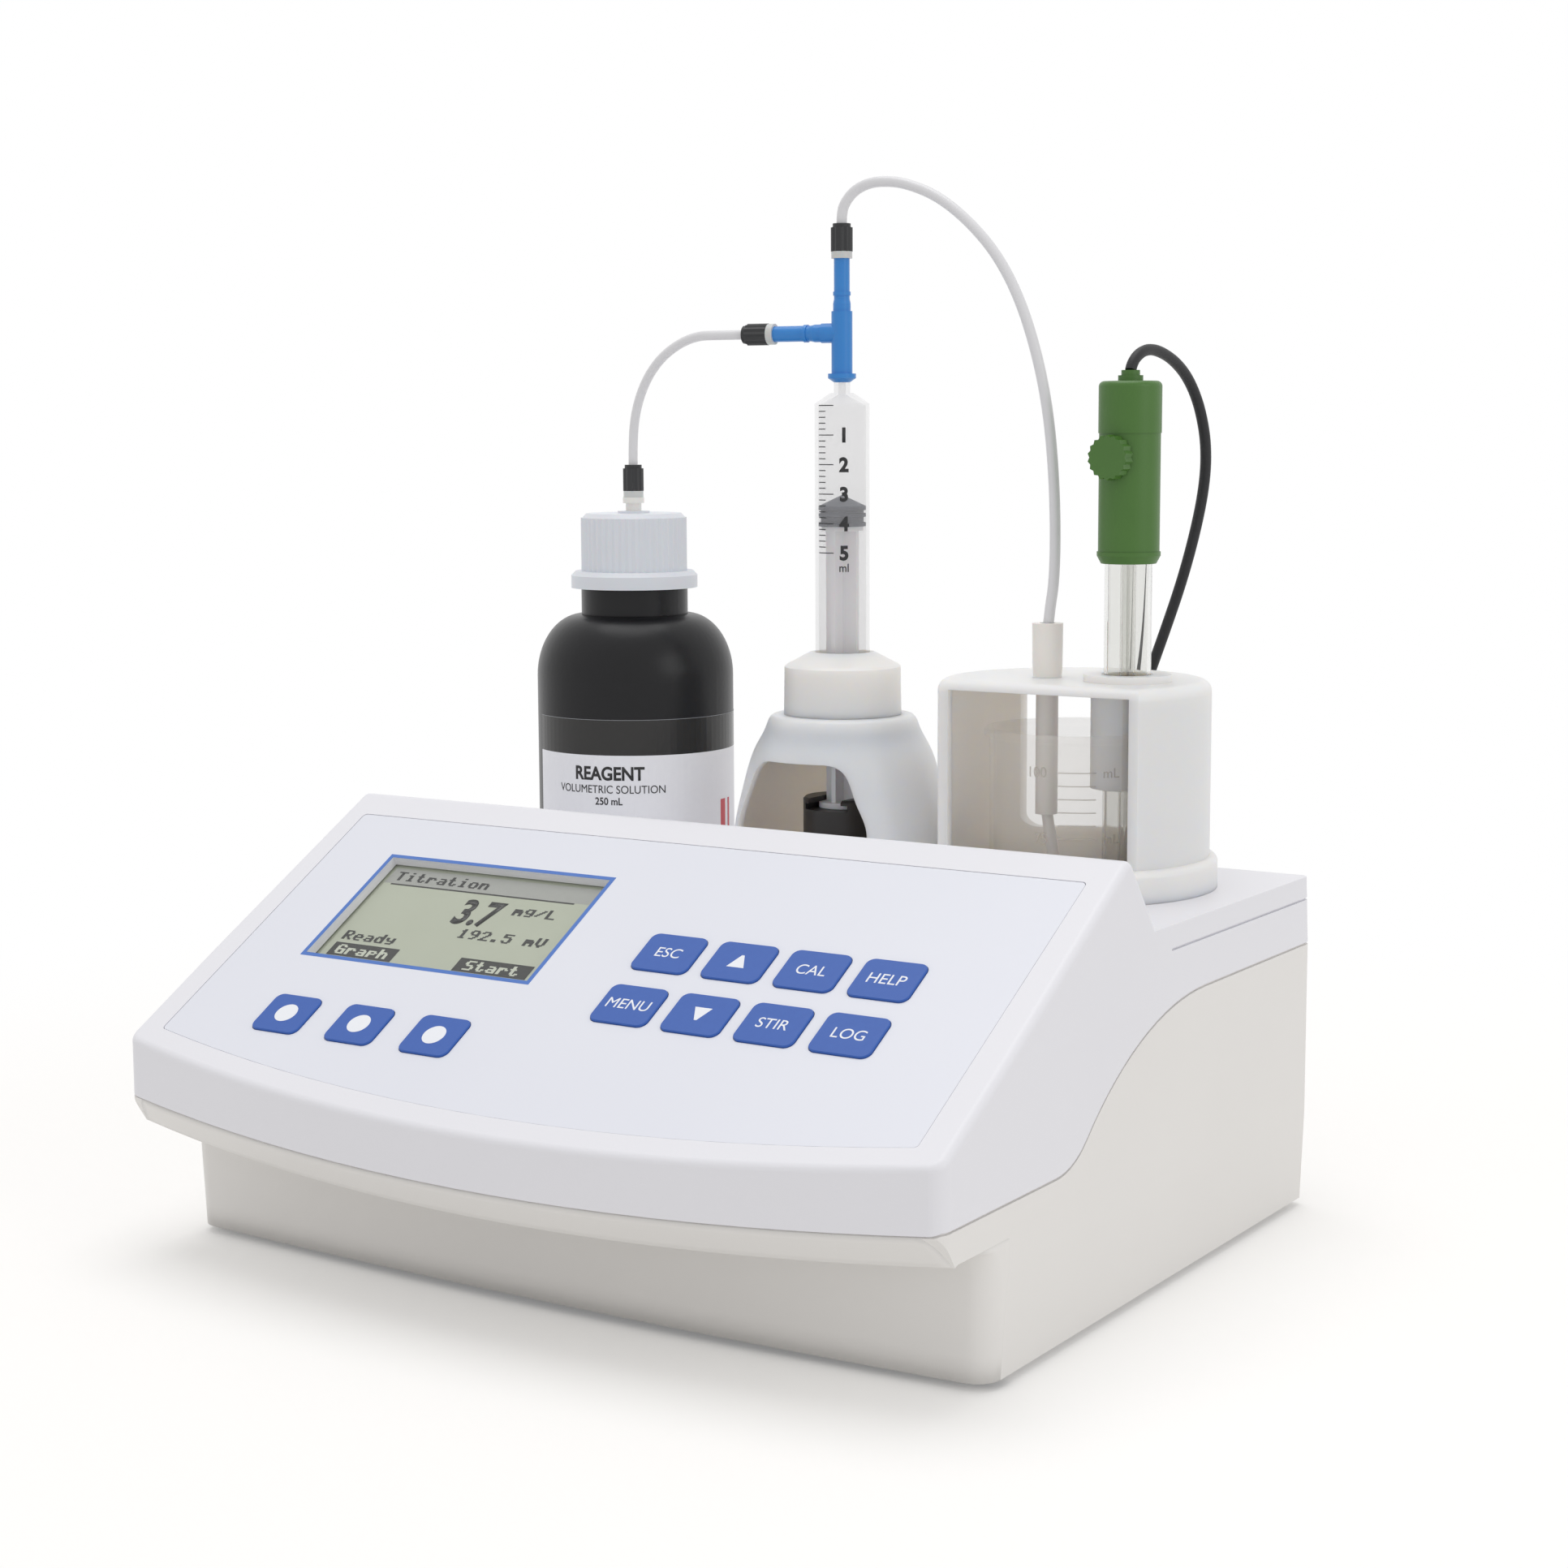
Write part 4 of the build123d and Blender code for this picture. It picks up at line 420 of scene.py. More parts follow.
BOARD = soft_plastic("green circuit board", "#1E5A33", "#25663B", 0.5)
PLATE = worked_metal("anodised aluminium plate", "#B4B5B8", "#BDBEC1", 0.42, 0.4, 0.01)
STEEL = worked_metal("zinc plated steel", "#AEB0B2", "#BFC1C3", 0.32, 0.5, 0.01)
NICKEL = worked_metal("nickel plated brass", "#C4C1B8", "#CFCCC4", 0.22, 0.8, 0.01)
BRASS = worked_metal("turned brass", "#B9974D", "#C7A55A", 0.3, 0.3, 0.01)
MOTOR = worked_metal("black painted motor can", "#2B2B2E", "#353538", 0.5, 0.6, 0.02)

NODE_MATERIALS = {
    "upper_case": WHITE_ABS,
    "lower_case": WARM_ABS,
    "deck_plate": WHITE_ABS,
    "keypad_overlay": FILM,
    "display_window": WINDOW,
    "lcd_panel": DISPLAY,
    "keypad_board": BOARD,
    "main_board": BOARD,
    "rubber_feet": FOOT_RUBBER,
    "assembly_screws": STEEL,
    "rear_panel": PLATE,
    "rear_sockets": BLACK_ABS,
    "bnc_socket": NICKEL,
    "bnc_plug": NICKEL,
    "switch_frame": BLACK_ABS,
    "power_rocker": BLACK_ABS,
    "bottle": HDPE_BLACK,
    "bottle_cap": PP_CAP,
    "dip_tube": PTFE,
    "pump_dome": HOOD_ABS,
    "locking_collar": HOOD_ABS,
    "syringe_barrel": PP_CLEAR,
    "plunger_stopper": RUBBER,
    "plunger_rod": PP_WHITE,
    "drive_piston": POM_BLACK,
    "drive_nut": BRASS,
    "lead_screw": STEEL,
    "pump_frame": PLATE,
    "pump_motor": MOTOR,
    "valve_body": NYLON_BLUE,
    "tube_nuts": NYLON_BLACK,
    "tube_ferrules": FERRULE,
    "holder_hood": HOOD_ABS,
    "beaker": BEAKER_CLEAR,
    "stir_bar": PTFE,
    "magnet_holder": STEEL,
    "stirrer_motor": MOTOR,
    "motor_bracket": PLATE,
    "electrode_glass": GLASS,
    "electrode_inner_tube": GLASS,
    "electrode_body": GREEN_PP,
    "electrode_cap": GREEN_PP,
    "fill_screw": GREEN_PP,
    "dispensing_tip": PTFE,
}


def dress_nodes():
    """Gives every piece of the model its own finish."""
    for name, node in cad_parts.items():
        material = KEY_BLUE if "key_" in name else NODE_MATERIALS.get(name)
        if material:
            node.data.materials.clear()
            node.data.materials.append(material)


# ---- camera, light and floor --------------------------------------------------------------------
CAMERA_PLACE = (0.38986, -0.57350, 0.20745)
CAMERA_TURN, CAMERA_DIP, CAMERA_ROLL = 32.87, 7.45, -0.27  # degrees
LENS, SENSOR = 63.33, 36.0  # millimetres
AMBIENT = 0.7
FLOOR_GLOW = 0.205
FLOOR_NEAR, FLOOR_FAR = 0.22, 0.5  # metres: where the table starts and ends its change to white
FLOOR_REACH, FLOOR_TOP = 6000.0, -0.05


def make_camera():
    turn, dip, roll = (radians(angle) for angle in (CAMERA_TURN, CAMERA_DIP, CAMERA_ROLL))
    ahead = Vector((-sin(turn) * cos(dip), cos(turn) * cos(dip), -sin(dip)))
    right = Vector((cos(turn), sin(turn), 0))
    above = right.cross(ahead)
    across = right * cos(roll) + above * sin(roll)
    upward = above * cos(roll) - right * sin(roll)
    data = bpy.data.cameras.new("camera")
    data.lens = LENS
    data.sensor_width = SENSOR
    camera = bpy.data.objects.new("camera", data)
    facing = Matrix((across, upward, -ahead)).transposed().to_4x4()
    camera.matrix_world = Matrix.Translation(CAMERA_PLACE) @ facing
    scene.collection.objects.link(camera)
    scene.camera = camera


def lamp(name, place, aim, size, power):
    data = bpy.data.lights.new(name, "AREA")
    data.shape = "DISK"
    data.size = size
    data.energy = power
    obj = bpy.data.objects.new(name, data)
    obj.location = place
    obj.rotation_euler = (Vector(aim) - Vector(place)).to_track_quat("-Z", "Y").to_euler()
    scene.collection.objects.link(obj)


def seen_rays(tree):
    """One for rays that show the background directly, in a reflection or through glass."""
    path = add(tree, "ShaderNodeLightPath").outputs
    direct = {0: path["Is Camera Ray"], 1: path["Is Glossy Ray"]}
    first = add(tree, "ShaderNodeMath", direct, operation="MAXIMUM")
    both = {0: first.outputs[0], 1: path["Is Transmission Ray"]}
    return add(tree, "ShaderNodeMath", both, operation="MAXIMUM").outputs[0]


def make_world():
    world = bpy.data.worlds.new("studio")
    world.use_nodes = True
    tree = world.node_tree
    tree.nodes.clear()
    shown = add(tree, "ShaderNodeBackground", {"Color": linear("#FFFFFF"), "Strength": 1.0})
    ambient = add(tree, "ShaderNodeBackground", {"Color": linear("#FEFDFD"), "Strength": AMBIENT})
    ends = {0: seen_rays(tree), 1: ambient.outputs[0], 2: shown.outputs[0]}
    mix = add(tree, "ShaderNodeMixShader", ends)
    add(tree, "ShaderNodeOutputWorld", {"Surface": mix.outputs[0]})
    scene.world = world


def make_floor():
    """A pale table that keeps the soft shadow under the case and is plain white farther away."""
    material, tree, place = blank("white studio floor")
    lit = add(tree, "ShaderNodeBsdfDiffuse", {"Color": linear("#EBEAE8")})
    glow = add(tree, "ShaderNodeEmission", {"Color": linear("#FFFFFF"), "Strength": FLOOR_GLOW})
    both = add(tree, "ShaderNodeAddShader", {0: lit.outputs[0], 1: glow.outputs[0]})
    white = add(tree, "ShaderNodeEmission", {"Color": linear("#FFFFFF"), "Strength": 1.0})
    far = add(tree, "ShaderNodeVectorMath", {0: place}, operation="LENGTH").outputs["Value"]
    fade = {"Value": far, "From Min": FLOOR_NEAR, "From Max": FLOOR_FAR}
    share = add(tree, "ShaderNodeMapRange", fade, interpolation_type="SMOOTHSTEP").outputs[0]
    shown = add(tree, "ShaderNodeMixShader", {0: share, 1: both.outputs[0], 2: white.outputs[0]})
    ends = {0: seen_rays(tree), 1: lit.outputs[0], 2: shown.outputs[0]}
    close(tree, add(tree, "ShaderNodeMixShader", ends))
    corners = [(x * FLOOR_REACH, y * FLOOR_REACH, FLOOR_TOP) for x, y in SQUARE]
    floor = bpy.data.objects.new("floor", mesh_from("floor", corners, [(0, 1, 2, 3)]))
    floor.data.materials.append(material)
    scene.collection.objects.link(floor)


# ---- cords --------------------------------------------------------------------------------------
def in_metres(route):
    return [(x * MM, (CORNER_Y + back) * MM, z * MM) for x, back, z in route]


def hose(name, route, diameter, material):
    """A flexible lead along one smooth line."""
    curve = bpy.data.curves.new(name, "CURVE")
    curve.dimensions = "3D"
    curve.bevel_depth = diameter / 2 * MM
    curve.bevel_resolution = 5
    curve.resolution_u = 6
    curve.use_fill_caps = True
    spline = curve.splines.new("NURBS")
    points = in_metres(route)
    spline.points.add(len(points) - 1)
    for slot, point in zip(spline.points, points):
        slot.co = (*point, 1.0)
    spline.order_u = 3
    spline.use_endpoint_u = True
    return piece(name, curve, material, "instrument")


def make_cords():
    tube = hose("dispensing_hose", DISPENSING_ROUTE, TUBE_D, TUBING)
    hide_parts("dispensing_tube")
    supply = hose("aspiration_hose", ASPIRATION_ROUTE, ASPIRATION_D, TUBING)
    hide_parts("aspiration_tube")
    lead_route = CABLE_ROUTE + coil_points() + TAIL_ROUTE[::-1]
    lead = hose("electrode_lead", lead_route, CABLE_D, CABLE_PVC)
    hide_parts("electrode_cable", "cable_coil", "cable_tail")


# ---- lower shell: the face of its lip, and its set-back front wall ------------------------------
HALF_W, FRONT_BOW = 117.5, 11.5
PARTING_Z, PARTING_SLOPE, FOLD_BACK = 41.3, 0.42, 1.0
LIP_LEAN, LIP_DROP = 5.5, 8.0
LIP_UNDER_Z = PARTING_Z - LIP_DROP
LIP_SECTION = [  # (along the leaning face, lift off it, half width), and back under the lip
    (0.05, 0.12, 112.8),
    (0.3, 0.12, 114.6),
    (0.5, 0.12, 115.6),
    (0.8, 0.12, 116.6),
    (0.96, 0.1, 116.9),
    (1.02, -0.3, 116.9),
    (1.0, -1.6, 116.6),
    (0.6, -1.6, 115.4),
    (0.08, -1.0, 112.8),
]
WALL_BACK, WALL_BOW, WALL_CORNER_R = 21.8, 4.0, 6.0
WALL_BASE_Z, DRAFT_Z = 2.0, 25.7
WALL_LEVELS = (WALL_BASE_Z, 8.0, 14.0, 20.0, DRAFT_Z - 0.4)
WALL_INSET = 0.03
WALL_RUN_BACK = (10.5, 10.0)  # two points that carry the side back past the corner
SIDE_DRAFT, FRONT_DRAFT = 0.035, 0.026
PROUD = 0.08  # how far these faces stand off the moulding behind them
COVE_R, COVE_STEPS, COVE_LIFT = 8.0, 8, 0.05
LIP_TAPER, LIP_END_SHARE = 8, 0.1  # over this length at its ends the lip's face sinks in


def swell(x, bow):
    """How far a bowed front stands forward of its corners, at a distance from the middle."""
    sweep_r = (HALF_W**2 + bow**2) / (2 * bow)
    return bow - sweep_r + (sweep_r**2 - x**2) ** 0.5


def skinned(name, rings):
    """A closed skin over a row of closed outlines of equal count, capped at both ends."""
    count = len(rings[0])
    points = [point for ring in rings for point in ring]
    faces = []
    for start in range(0, (len(rings) - 1) * count, count):
        for j in range(count):
            after = (j + 1) % count
            faces.append((start + j, start + after, start + count + after, start + count + j))
    last = (len(rings) - 1) * count
    faces += [tuple(range(count - 1, -1, -1)), tuple(range(last, last + count))]
    mesh = mesh_from(name, points, faces)
    build = bmesh.new()
    build.from_mesh(mesh)
    bmesh.ops.recalc_face_normals(build, faces=build.faces)
    for face in build.faces:
        face.smooth = len(face.verts) == 4
    build.to_mesh(mesh)
    build.free()
    return mesh


def make_lip_face(steps=96):
    """The lip's face under the parting line, leaning back to its rounded lower edge."""
    length = (LIP_LEAN**2 + LIP_DROP**2) ** 0.5
    rings = []
    for i in range(steps + 1):
        ring = []
        for along, lift, half in LIP_SECTION:
            x = half * (2 * i / steps - 1)
            back = -swell(x, FRONT_BOW)
            top = PARTING_Z + PARTING_SLOPE * min(back - FOLD_BACK, 0)
            if lift > 0:
                lift *= min((half - abs(x)) / LIP_TAPER + LIP_END_SHARE, 1.0)
            y = CORNER_Y + back + LIP_LEAN * along - lift * LIP_DROP / length
            ring.append((x, y, top - LIP_DROP * along - lift * LIP_LEAN / length))
        rings.append(ring)
    face = skinned("lower_lip_face", rings)
    piece("lower_lip_face", face, WARM_ABS, "instrument")


def make_front_wall(steps=48, corner_steps=8):
    """The set-back front wall, drawn in towards the table, with a hollow curve up to the lip."""
    levels = list(WALL_LEVELS)
    for i in range(1, COVE_STEPS + 1):
        levels.append(LIP_UNDER_Z - COVE_R * cos(pi / 2 * i / COVE_STEPS) + COVE_LIFT)
    rings = []
    for z in levels:
        half = HALF_W - WALL_INSET - SIDE_DRAFT * max(DRAFT_Z - z, 0)
        rise = min(max(z - (LIP_UNDER_Z - COVE_R), 0.0), COVE_R)
        flare = COVE_R - (COVE_R**2 - rise**2) ** 0.5
        drawn = FRONT_DRAFT * (min(z, DRAFT_Z) - WALL_BASE_Z)
        front = CORNER_Y + WALL_BACK - PROUD - drawn - flare
        straight = half - WALL_CORNER_R
        ring = [(half, CORNER_Y + WALL_BACK + back, z) for back in WALL_RUN_BACK]
        corner_y = front - swell(straight, WALL_BOW) + WALL_CORNER_R
        for i in range(corner_steps):
            turn = pi / 2 * i / corner_steps
            x = straight + WALL_CORNER_R * cos(turn)
            ring.append((x, corner_y - WALL_CORNER_R * sin(turn), z))
        for i in range(steps + 1):
            x = straight * (1 - 2 * i / steps)
            ring.append((x, front - swell(x, WALL_BOW), z))
        ring += [(-x, y, z) for x, y, z in ring[corner_steps + 1 :: -1]]
        rings.append(ring)
    wall = skinned("lower_front_wall", rings)
    piece("lower_front_wall", wall, WARM_ABS, "instrument")


# ---- prints and lettering -----------------------------------------------------------------------
PRINT_T = 0.04  # raised so that it shows


def panel_matrix(x, up, lift):
    """A frame on the keypad's slope, from distances in millimetres across, up and off the slope."""
    slope = Vector((0, 1, PANEL_RISE)).normalized()
    across = Vector((1, 0, 0))
    out = across.cross(slope)
    place = Vector((x, CORNER_Y, BAND_TOP_Z)) + slope * up + out * lift
    return Matrix.Translation(place * MM) @ Matrix((across, slope, out)).transposed().to_4x4()


def words(text, height, bold=0.0, squeeze=1.0, thick=PRINT_T):
    """A thin raised print of a word, centred, its tallest letters of a given height."""
    curve = bpy.data.curves.new("print", "FONT")
    curve.body = text
    curve.offset = bold
    holder = bpy.data.objects.new("print", curve)
    mesh = bpy.data.meshes.new_from_object(holder)
    bpy.data.objects.remove(holder)
    xs = [v.co.x for v in mesh.vertices]
    ys = [v.co.y for v in mesh.vertices]
    scale = height / (max(ys) - min(ys)) * MM
    middle = Vector(((max(xs) + min(xs)) / 2, (max(ys) + min(ys)) / 2, 0))
    mesh.transform(Matrix.Diagonal((scale * squeeze, scale, 1, 1)) @ Matrix.Translation(-middle))
    return thicken(mesh, thick)


def thicken(mesh, thick):
    """Gives a flat outline a thickness, upward, in millimetres."""
    build = bmesh.new()
    build.from_mesh(mesh)
    bmesh.ops.remove_doubles(build, verts=build.verts, dist=1e-7)
    raised = bmesh.ops.extrude_face_region(build, geom=build.faces[:])["geom"]
    tops = [item for item in raised if isinstance(item, bmesh.types.BMVert)]
    bmesh.ops.translate(build, verts=tops, vec=(0, 0, thick * MM))
    bmesh.ops.recalc_face_normals(build, faces=build.faces)
    build.to_mesh(mesh)
    build.free()
    return mesh


def outline(points, thick=PRINT_T):
    """A thin print of a closed outline, in millimetres."""
    flat = mesh_from("print", [(x, y, 0) for x, y in points], [range(len(points))])
    return thicken(flat, thick)


def laid(mesh, x, up, lift):
    mesh.transform(panel_matrix(x, up, lift))
    return mesh


def bar(width, height, thick=PRINT_T):
    x, y = width / 2, height / 2
    return outline([(-x, -y), (x, -y), (x, y), (-x, y)], thick)


KEY_LABELS = {
    "key_esc": ("ESC", 0, KEY_ROW_HIGH),
    "key_up": ("up", 1, KEY_ROW_HIGH),
    "key_cal": ("CAL", 2, KEY_ROW_HIGH),
    "key_help": ("HELP", 3, KEY_ROW_HIGH),
    "key_menu": ("MENU", 0, KEY_ROW_LOW),
    "key_down": ("down", 1, KEY_ROW_LOW),
    "key_stir": ("STIR", 2, KEY_ROW_LOW),
    "key_log": ("LOG", 3, KEY_ROW_LOW),
}
LETTER_H = 3.3
ARROW_HALF, ARROW_TIP_HALF, ARROW_SHAPE = 2.4, 0.35, 0.9
DOT_R = 3.1


def disc(radius, segments=48):
    turns = [2 * pi * i / segments for i in range(segments)]
    return outline([(radius * cos(turn), radius * sin(turn)) for turn in turns])


def arrow(direction):
    """A blunt triangle that points up the panel, or down it where the direction is -1."""
    tip, base = direction * ARROW_HALF * ARROW_SHAPE, -direction * ARROW_HALF * ARROW_SHAPE
    points = [(-ARROW_HALF, base), (ARROW_HALF, base)]
    points += [(ARROW_TIP_HALF, tip), (-ARROW_TIP_HALF, tip)]
    return outline(points if direction > 0 else points[::-1])


def make_key_prints():
    for key, (label, column, row) in KEY_LABELS.items():
        if label == "up":
            mesh = arrow(1)
        elif label == "down":
            mesh = arrow(-1)
        else:
            mesh = words(label, LETTER_H, squeeze=0.95)
        laid(mesh, KEY_FIRST_X + KEY_PITCH * column, row, KEY_PROUD)
        piece(key + "_print", mesh, WHITE_INK, key + "_cap")
    for column, key in enumerate(("softkey_left", "softkey_middle", "softkey_right")):
        mesh = laid(disc(DOT_R), SOFT_FIRST_X + SOFT_PITCH * column, SOFT_ROW, KEY_PROUD)
        piece(key + "_print", mesh, WHITE_INK, key + "_cap")


def ribbon(width, height, step=0.6, thick=PRINT_T):
    """A thin print of a rectangle cut into strips, so that it can be wrapped on a round wall."""
    count = max(1, round(width / step))
    xs = [-width / 2 + width * i / count for i in range(count + 1)]
    points = [(x, y, 0) for x in xs for y in (-height / 2, height / 2)]
    faces = [(2 * i, 2 * i + 2, 2 * i + 3, 2 * i + 1) for i in range(count)]
    return thicken(mesh_from("print", points, faces), thick)


def sliced(mesh, step=0.8):
    """Cuts a flat print across in strips, so that it can be wrapped on a round wall."""
    build = bmesh.new()
    build.from_mesh(mesh)
    reach = max(abs(v.co.x) for v in build.verts)
    cuts = int(reach / (step * MM))
    for i in range(-cuts, cuts + 1):
        whole = build.verts[:] + build.edges[:] + build.faces[:]
        place = (i * step * MM, 0, 0)
        bmesh.ops.bisect_plane(build, geom=whole, plane_co=place, plane_no=(1, 0, 0))
    build.to_mesh(mesh)
    build.free()
    return mesh


def wrapped(mesh, axis, radius, facing, along, height, lift=0.01):
    """Bends a flat print round an upright wall, at a distance round it from where it faces."""
    for vertex in mesh.vertices:
        turn = radians(facing) + (vertex.co.x / MM + along) / radius
        out = radius + lift + vertex.co.z / MM
        up = vertex.co.y / MM + height
        vertex.co = Vector((axis[0] + out * cos(turn), axis[1] + out * sin(turn), up)) * MM
    mesh.update()
    return mesh


def joined(name, meshes):
    """One mesh from several."""
    build = bmesh.new()
    for mesh in meshes:
        build.from_mesh(mesh)
    made = bpy.data.meshes.new(name)
    build.to_mesh(made)
    build.free()
    return made


# ---- the display's picture ----------------------------------------------------------------------
DOT_COLUMNS = {  # five columns of seven dots, lowest bit at the top
    ".": (0, 96, 96, 0, 0),
    "/": (32, 16, 8, 4, 2),
    "1": (0, 66, 127, 64, 0),
    "2": (66, 97, 81, 73, 70),
    "5": (39, 69, 69, 69, 57),
    "9": (6, 73, 73, 41, 30),
    "G": (62, 65, 73, 73, 122),
    "L": (127, 64, 64, 64, 64),
    "R": (127, 9, 25, 41, 70),
    "S": (70, 73, 73, 73, 49),
    "T": (1, 1, 127, 1, 1),
    "V": (31, 32, 64, 32, 31),
    "a": (32, 84, 84, 84, 120),
    "d": (56, 68, 68, 72, 127),
    "e": (56, 84, 84, 84, 24),
    "g": (12, 82, 82, 82, 62),
    "h": (127, 8, 4, 4, 120),
    "i": (0, 68, 125, 64, 0),
    "m": (124, 4, 24, 4, 120),
    "n": (124, 8, 4, 4, 120),
    "o": (56, 68, 68, 68, 56),
    "p": (124, 20, 20, 20, 8),
    "r": (124, 8, 4, 4, 8),
    "t": (4, 63, 68, 64, 32),
    "y": (12, 80, 80, 80, 60),
}
DOT, DOT_ROWS, DOT_PITCH = 0.5, 7, 7
CELL_T = 0.01  # thickness of a dark segment
HEADER_UP, FRAME_SHADOW_H = 15.2, 6.0
GRAPH_X, START_X, SOFT_LABEL_UP, SOFT_LABEL_H = -21.4, 20.6, -14.7, 5.0
GLASS_LEFT, GLASS_RIGHT = -34.0, 34.0


def dot_words(text, left, middle):
    """Dot-matrix letters as small squares, two dots wide in each stroke, from a left edge and
    centred on a height."""
    points, faces = [], []
    half = DOT * 0.5
    for place, letter in enumerate(text):
        lit = set()
        for column, bits in enumerate(DOT_COLUMNS.get(letter, ())):
            for row in range(DOT_ROWS):
                if bits >> row & 1:
                    lit |= {(column, row), (column + 1, row)}
        for column, row in sorted(lit):
            x = left + (place * DOT_PITCH + column) * DOT
            y = middle + (DOT_ROWS // 2 - row) * DOT
            first = len(points)
            points += [(x + a * half, y + b * half, 0) for a, b in SQUARE]
            faces.append((first, first + 1, first + 2, first + 3))
    return mesh_from("print", points, faces)


def at(mesh, x, y):
    mesh.transform(Matrix.Translation((x * MM, y * MM, 0)))
    return mesh


def make_display():
    """The printed frame round the window, a grey band painted across the top of the display as the
    frame's shadow, and the display's own dark segments.
    """
    wide, high = FRAME_W / 2, FRAME_H / 2
    side_h = FRAME_H - 2 * FRAME_BAR
    bars = [at(bar(FRAME_W, FRAME_BAR), 0, side * (high - FRAME_BAR / 2)) for side in (-1, 1)]
    bars += [at(bar(FRAME_BAR, side_h), side * (wide - FRAME_BAR / 2), 0) for side in (-1, 1)]
    rim = laid(joined("display_frame", bars), SCREEN_X, SCREEN_UP, OVERLAY_FACE)
    piece("display_frame", rim, FRAME_BLUE, "instrument")
    # painted shadow: a grey band across the top of the display cell, standing for the shade of the
    # window's frame
    frame_shadow = bar(GLASS_RIGHT - GLASS_LEFT, FRAME_SHADOW_H, CELL_T)
    laid(frame_shadow, SCREEN_X, SCREEN_UP + HEADER_UP, GLASS_FACE)
    piece("display_frame_shadow", frame_shadow, FRAME_SHADOW_INK, "instrument")
    dark = [
        dot_words("Titration", -31.6, HEADER_UP),
        at(bar(60.0, 0.5, CELL_T), -1.6, 11.9),
        at(words("3.7", 10.0, bold=0.03, squeeze=0.82, thick=CELL_T), 3.0, 4.4),
        dot_words("mg/L", 13.0, 6.9),
        dot_words("192.5 mV", 2.4, -3.6),
        dot_words("Ready", -31.4, -9.2),
        at(bar(21.2, SOFT_LABEL_H, CELL_T), GRAPH_X, SOFT_LABEL_UP),
        at(bar(23.0, SOFT_LABEL_H, CELL_T), START_X, SOFT_LABEL_UP),
    ]
    segments = laid(joined("display_segments", dark), SCREEN_X, SCREEN_UP, GLASS_FACE + 0.03)
    piece("display_segments", segments, LCD_DARK, "instrument")
    light = [dot_words("Graph", -29.9, SOFT_LABEL_UP), dot_words("Start", 12.1, SOFT_LABEL_UP)]
    labels = laid(joined("display_labels", light), SCREEN_X, SCREEN_UP, GLASS_FACE + 0.06)
    piece("display_labels", labels, LCD_LIGHT, "instrument")


# ---- marks on the syringe, the beaker and the bottle --------------------------------------------
SCALE_FACING = -58.0  # degrees, as the other facings
SCALE_ZERO_Z, SCALE_STEP = 212.1, 7.8
SCALE_TICKS, TICKS_PER_DIGIT = 26, 5
TICK_START, TICK_LONG, TICK_SHORT, TICK_H = -7.3, 4.9, 2.5, 0.26
DIGIT_ALONG, DIGIT_H, UNIT_DROP = 0.4, 4.0, 3.9
BEAKER_FACING = -63.0
BEAKER_MARK_Z, BEAKER_MARK_STEP = 119.9, 3.36
BEAKER_MARKS, MARK_W, MARK_H, MARK_ALONG, MARK_T = 6, 9.6, 0.28, -0.3, 0.12
BOTTLE_FACING = -58.0
LABEL_LEFT, LABEL_RIGHT = -32.8, 118.0
LABEL_TOP_Z, LABEL_FIELD_Z, LABEL_BASE_Z = 126.8, 117.0, 80.0
LABEL_STEP, LABEL_T = 2.0, 0.06
INK_LIFT = 0.07  # ink on the paper
STRIPE_TOP_Z = LABEL_FIELD_Z - 14.0
LABEL_WORDS_ALONG = -6.0
LABEL_LINES = [  # (words, letter height, weight, height of the line)
    ("REAGENT", 3.9, 0.03, 112.0),
    ("VOLUMETRIC SOLUTION", 2.2, 0.0, 107.6),
    ("250 mL", 2.1, 0.015, 104.3),
    ("Shake well before use.", 1.3, 0.0, 98.0),
    ("Keep upright and closed.", 1.3, 0.0, 95.6),
]


def make_syringe_scale():
    """Printed graduations: five small divisions to each numbered millilitre."""
    ink = []

    def print_on_barrel(mesh, along, z):
        ink.append(wrapped(mesh, PUMP, BARREL_R, SCALE_FACING, along, z))

    for tick in range(SCALE_TICKS):
        long = tick % TICKS_PER_DIGIT == 0
        length = TICK_LONG if long else TICK_SHORT
        z = SCALE_ZERO_Z - SCALE_STEP * tick / TICKS_PER_DIGIT
        print_on_barrel(ribbon(length, TICK_H), TICK_START + length / 2, z)
        if long and tick:
            number = str(tick // TICKS_PER_DIGIT)
            digit = sliced(words(number, DIGIT_H, bold=0.045, squeeze=0.95))
            print_on_barrel(digit, DIGIT_ALONG, z)
    unit = sliced(words("ml", 2.2, bold=0.01, squeeze=0.9))
    print_on_barrel(unit, DIGIT_ALONG, SCALE_ZERO_Z - SCALE_STEP * 5 - UNIT_DROP)
    scale = joined("syringe_scale", ink)
    piece("syringe_scale", scale, BLACK_INK, "instrument")


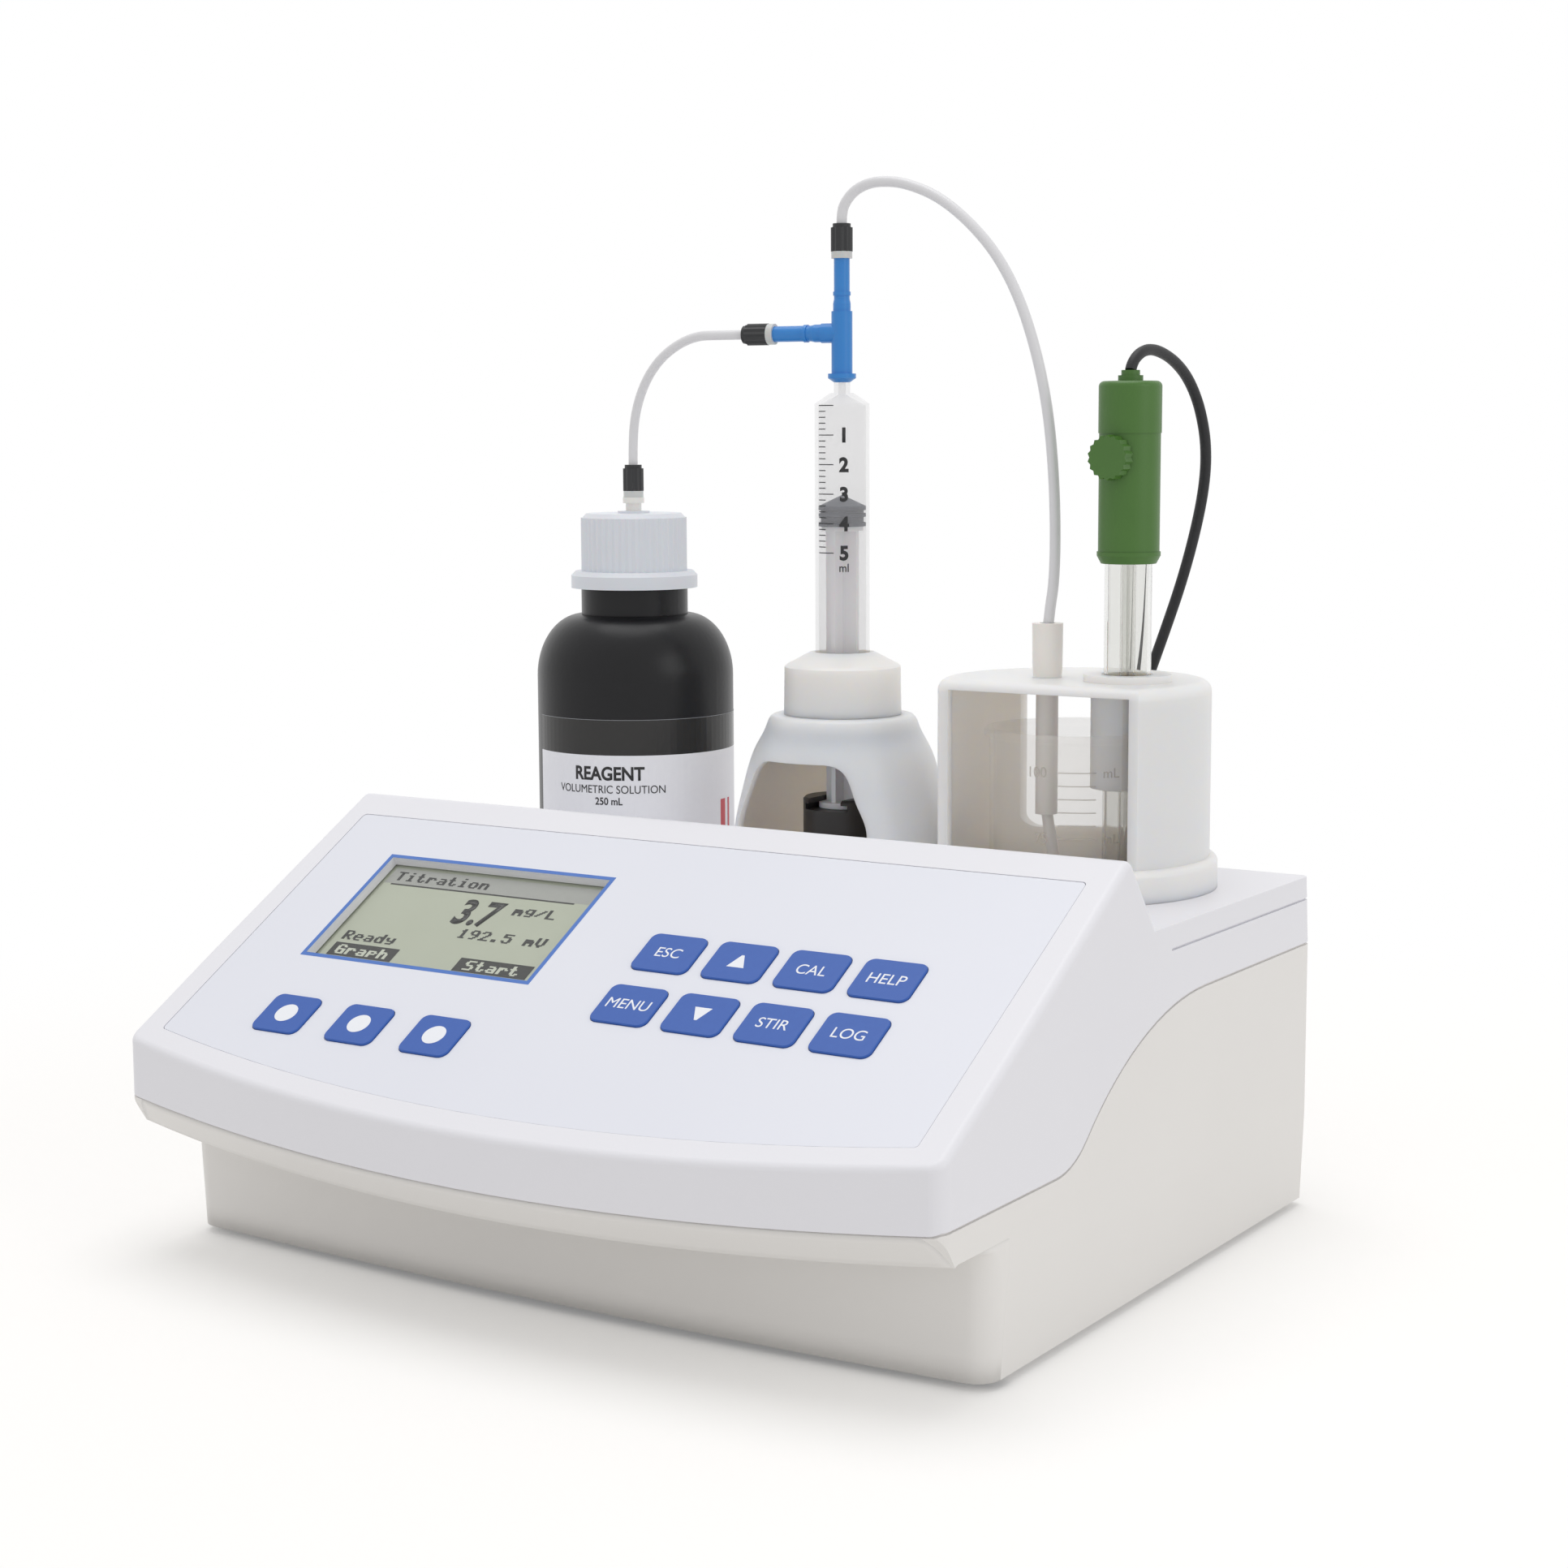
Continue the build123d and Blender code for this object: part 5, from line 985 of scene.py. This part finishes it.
def make_beaker_marks():
    """Lines and figures moulded on the beaker's wall."""
    raised = []

    def raise_on_beaker(mesh, along, z):
        raised.append(wrapped(mesh, BEAKER, BEAKER_R, BEAKER_FACING, along, z, 0.0))

    for line in range(BEAKER_MARKS):
        mark = ribbon(MARK_W, MARK_H, thick=MARK_T)
        raise_on_beaker(mark, MARK_ALONG, BEAKER_MARK_Z - BEAKER_MARK_STEP * line)
    for number, along, line in (("100", -10.5, 0), ("75", -9.6, 5)):
        z = BEAKER_MARK_Z - line * BEAKER_MARK_STEP
        raise_on_beaker(sliced(words(number, 2.7, squeeze=0.95, thick=MARK_T)), along, z)
        raise_on_beaker(sliced(words("mL", 2.4, thick=MARK_T)), 8.5, z)
    marks = joined("beaker_marks", raised)
    piece("beaker_marks", marks, FROSTED, "instrument")


def make_bottle_label():
    """A paper label with a dark varnished head, plain words and two red stripes."""
    middle, width = (LABEL_LEFT + LABEL_RIGHT) / 2, LABEL_RIGHT - LABEL_LEFT

    def on_bottle(mesh, along, z, lift=0.01):
        return wrapped(mesh, BOTTLE, BOTTLE_R, BOTTLE_FACING, along, z, lift)

    head = ribbon(width, LABEL_TOP_Z - LABEL_FIELD_Z, LABEL_STEP, LABEL_T)
    on_bottle(head, middle, (LABEL_TOP_Z + LABEL_FIELD_Z) / 2)
    piece("label_head", head, LABEL_BLACK, "instrument")
    field = ribbon(width, LABEL_FIELD_Z - LABEL_BASE_Z, LABEL_STEP, LABEL_T)
    on_bottle(field, middle, (LABEL_FIELD_Z + LABEL_BASE_Z) / 2)
    piece("label_field", field, LABEL_WHITE, "instrument")
    edge = on_bottle(ribbon(width, 0.12, LABEL_STEP, 0.07), middle, LABEL_TOP_Z)
    piece("label_edge", edge, GREY_INK, "instrument")
    ink = []
    for text, height, bold, z in LABEL_LINES:
        line = sliced(words(text, height, bold, 0.9), 1.2)
        ink.append(on_bottle(line, LABEL_WORDS_ALONG, z, INK_LIFT))
    print_all = joined("label_words", ink)
    piece("label_words", print_all, BLACK_INK, "instrument")
    stripes = []
    for along, wide in ((31.0, 2.6), (34.6, 1.2)):
        stripe = ribbon(wide, STRIPE_TOP_Z - LABEL_BASE_Z, 0.9)
        stripes.append(on_bottle(stripe, along, (STRIPE_TOP_Z + LABEL_BASE_Z) / 2, INK_LIFT))
    bands = joined("label_stripes", stripes)
    piece("label_stripes", bands, RED_INK, "instrument")


make_camera()
make_world()
make_floor()
lamp("overhead softbox", (-0.2, 0.15, 2.0), (0, 0.02, 0.08), 1.6, 12.0)
lamp("right softbox", (1.7, -0.2, 0.7), (0, 0, 0.1), 1.0, 3.4)
make_cords()
dress_nodes()
make_lip_face()
make_front_wall()
make_key_prints()
make_display()
make_syringe_scale()
make_beaker_marks()
make_bottle_label()
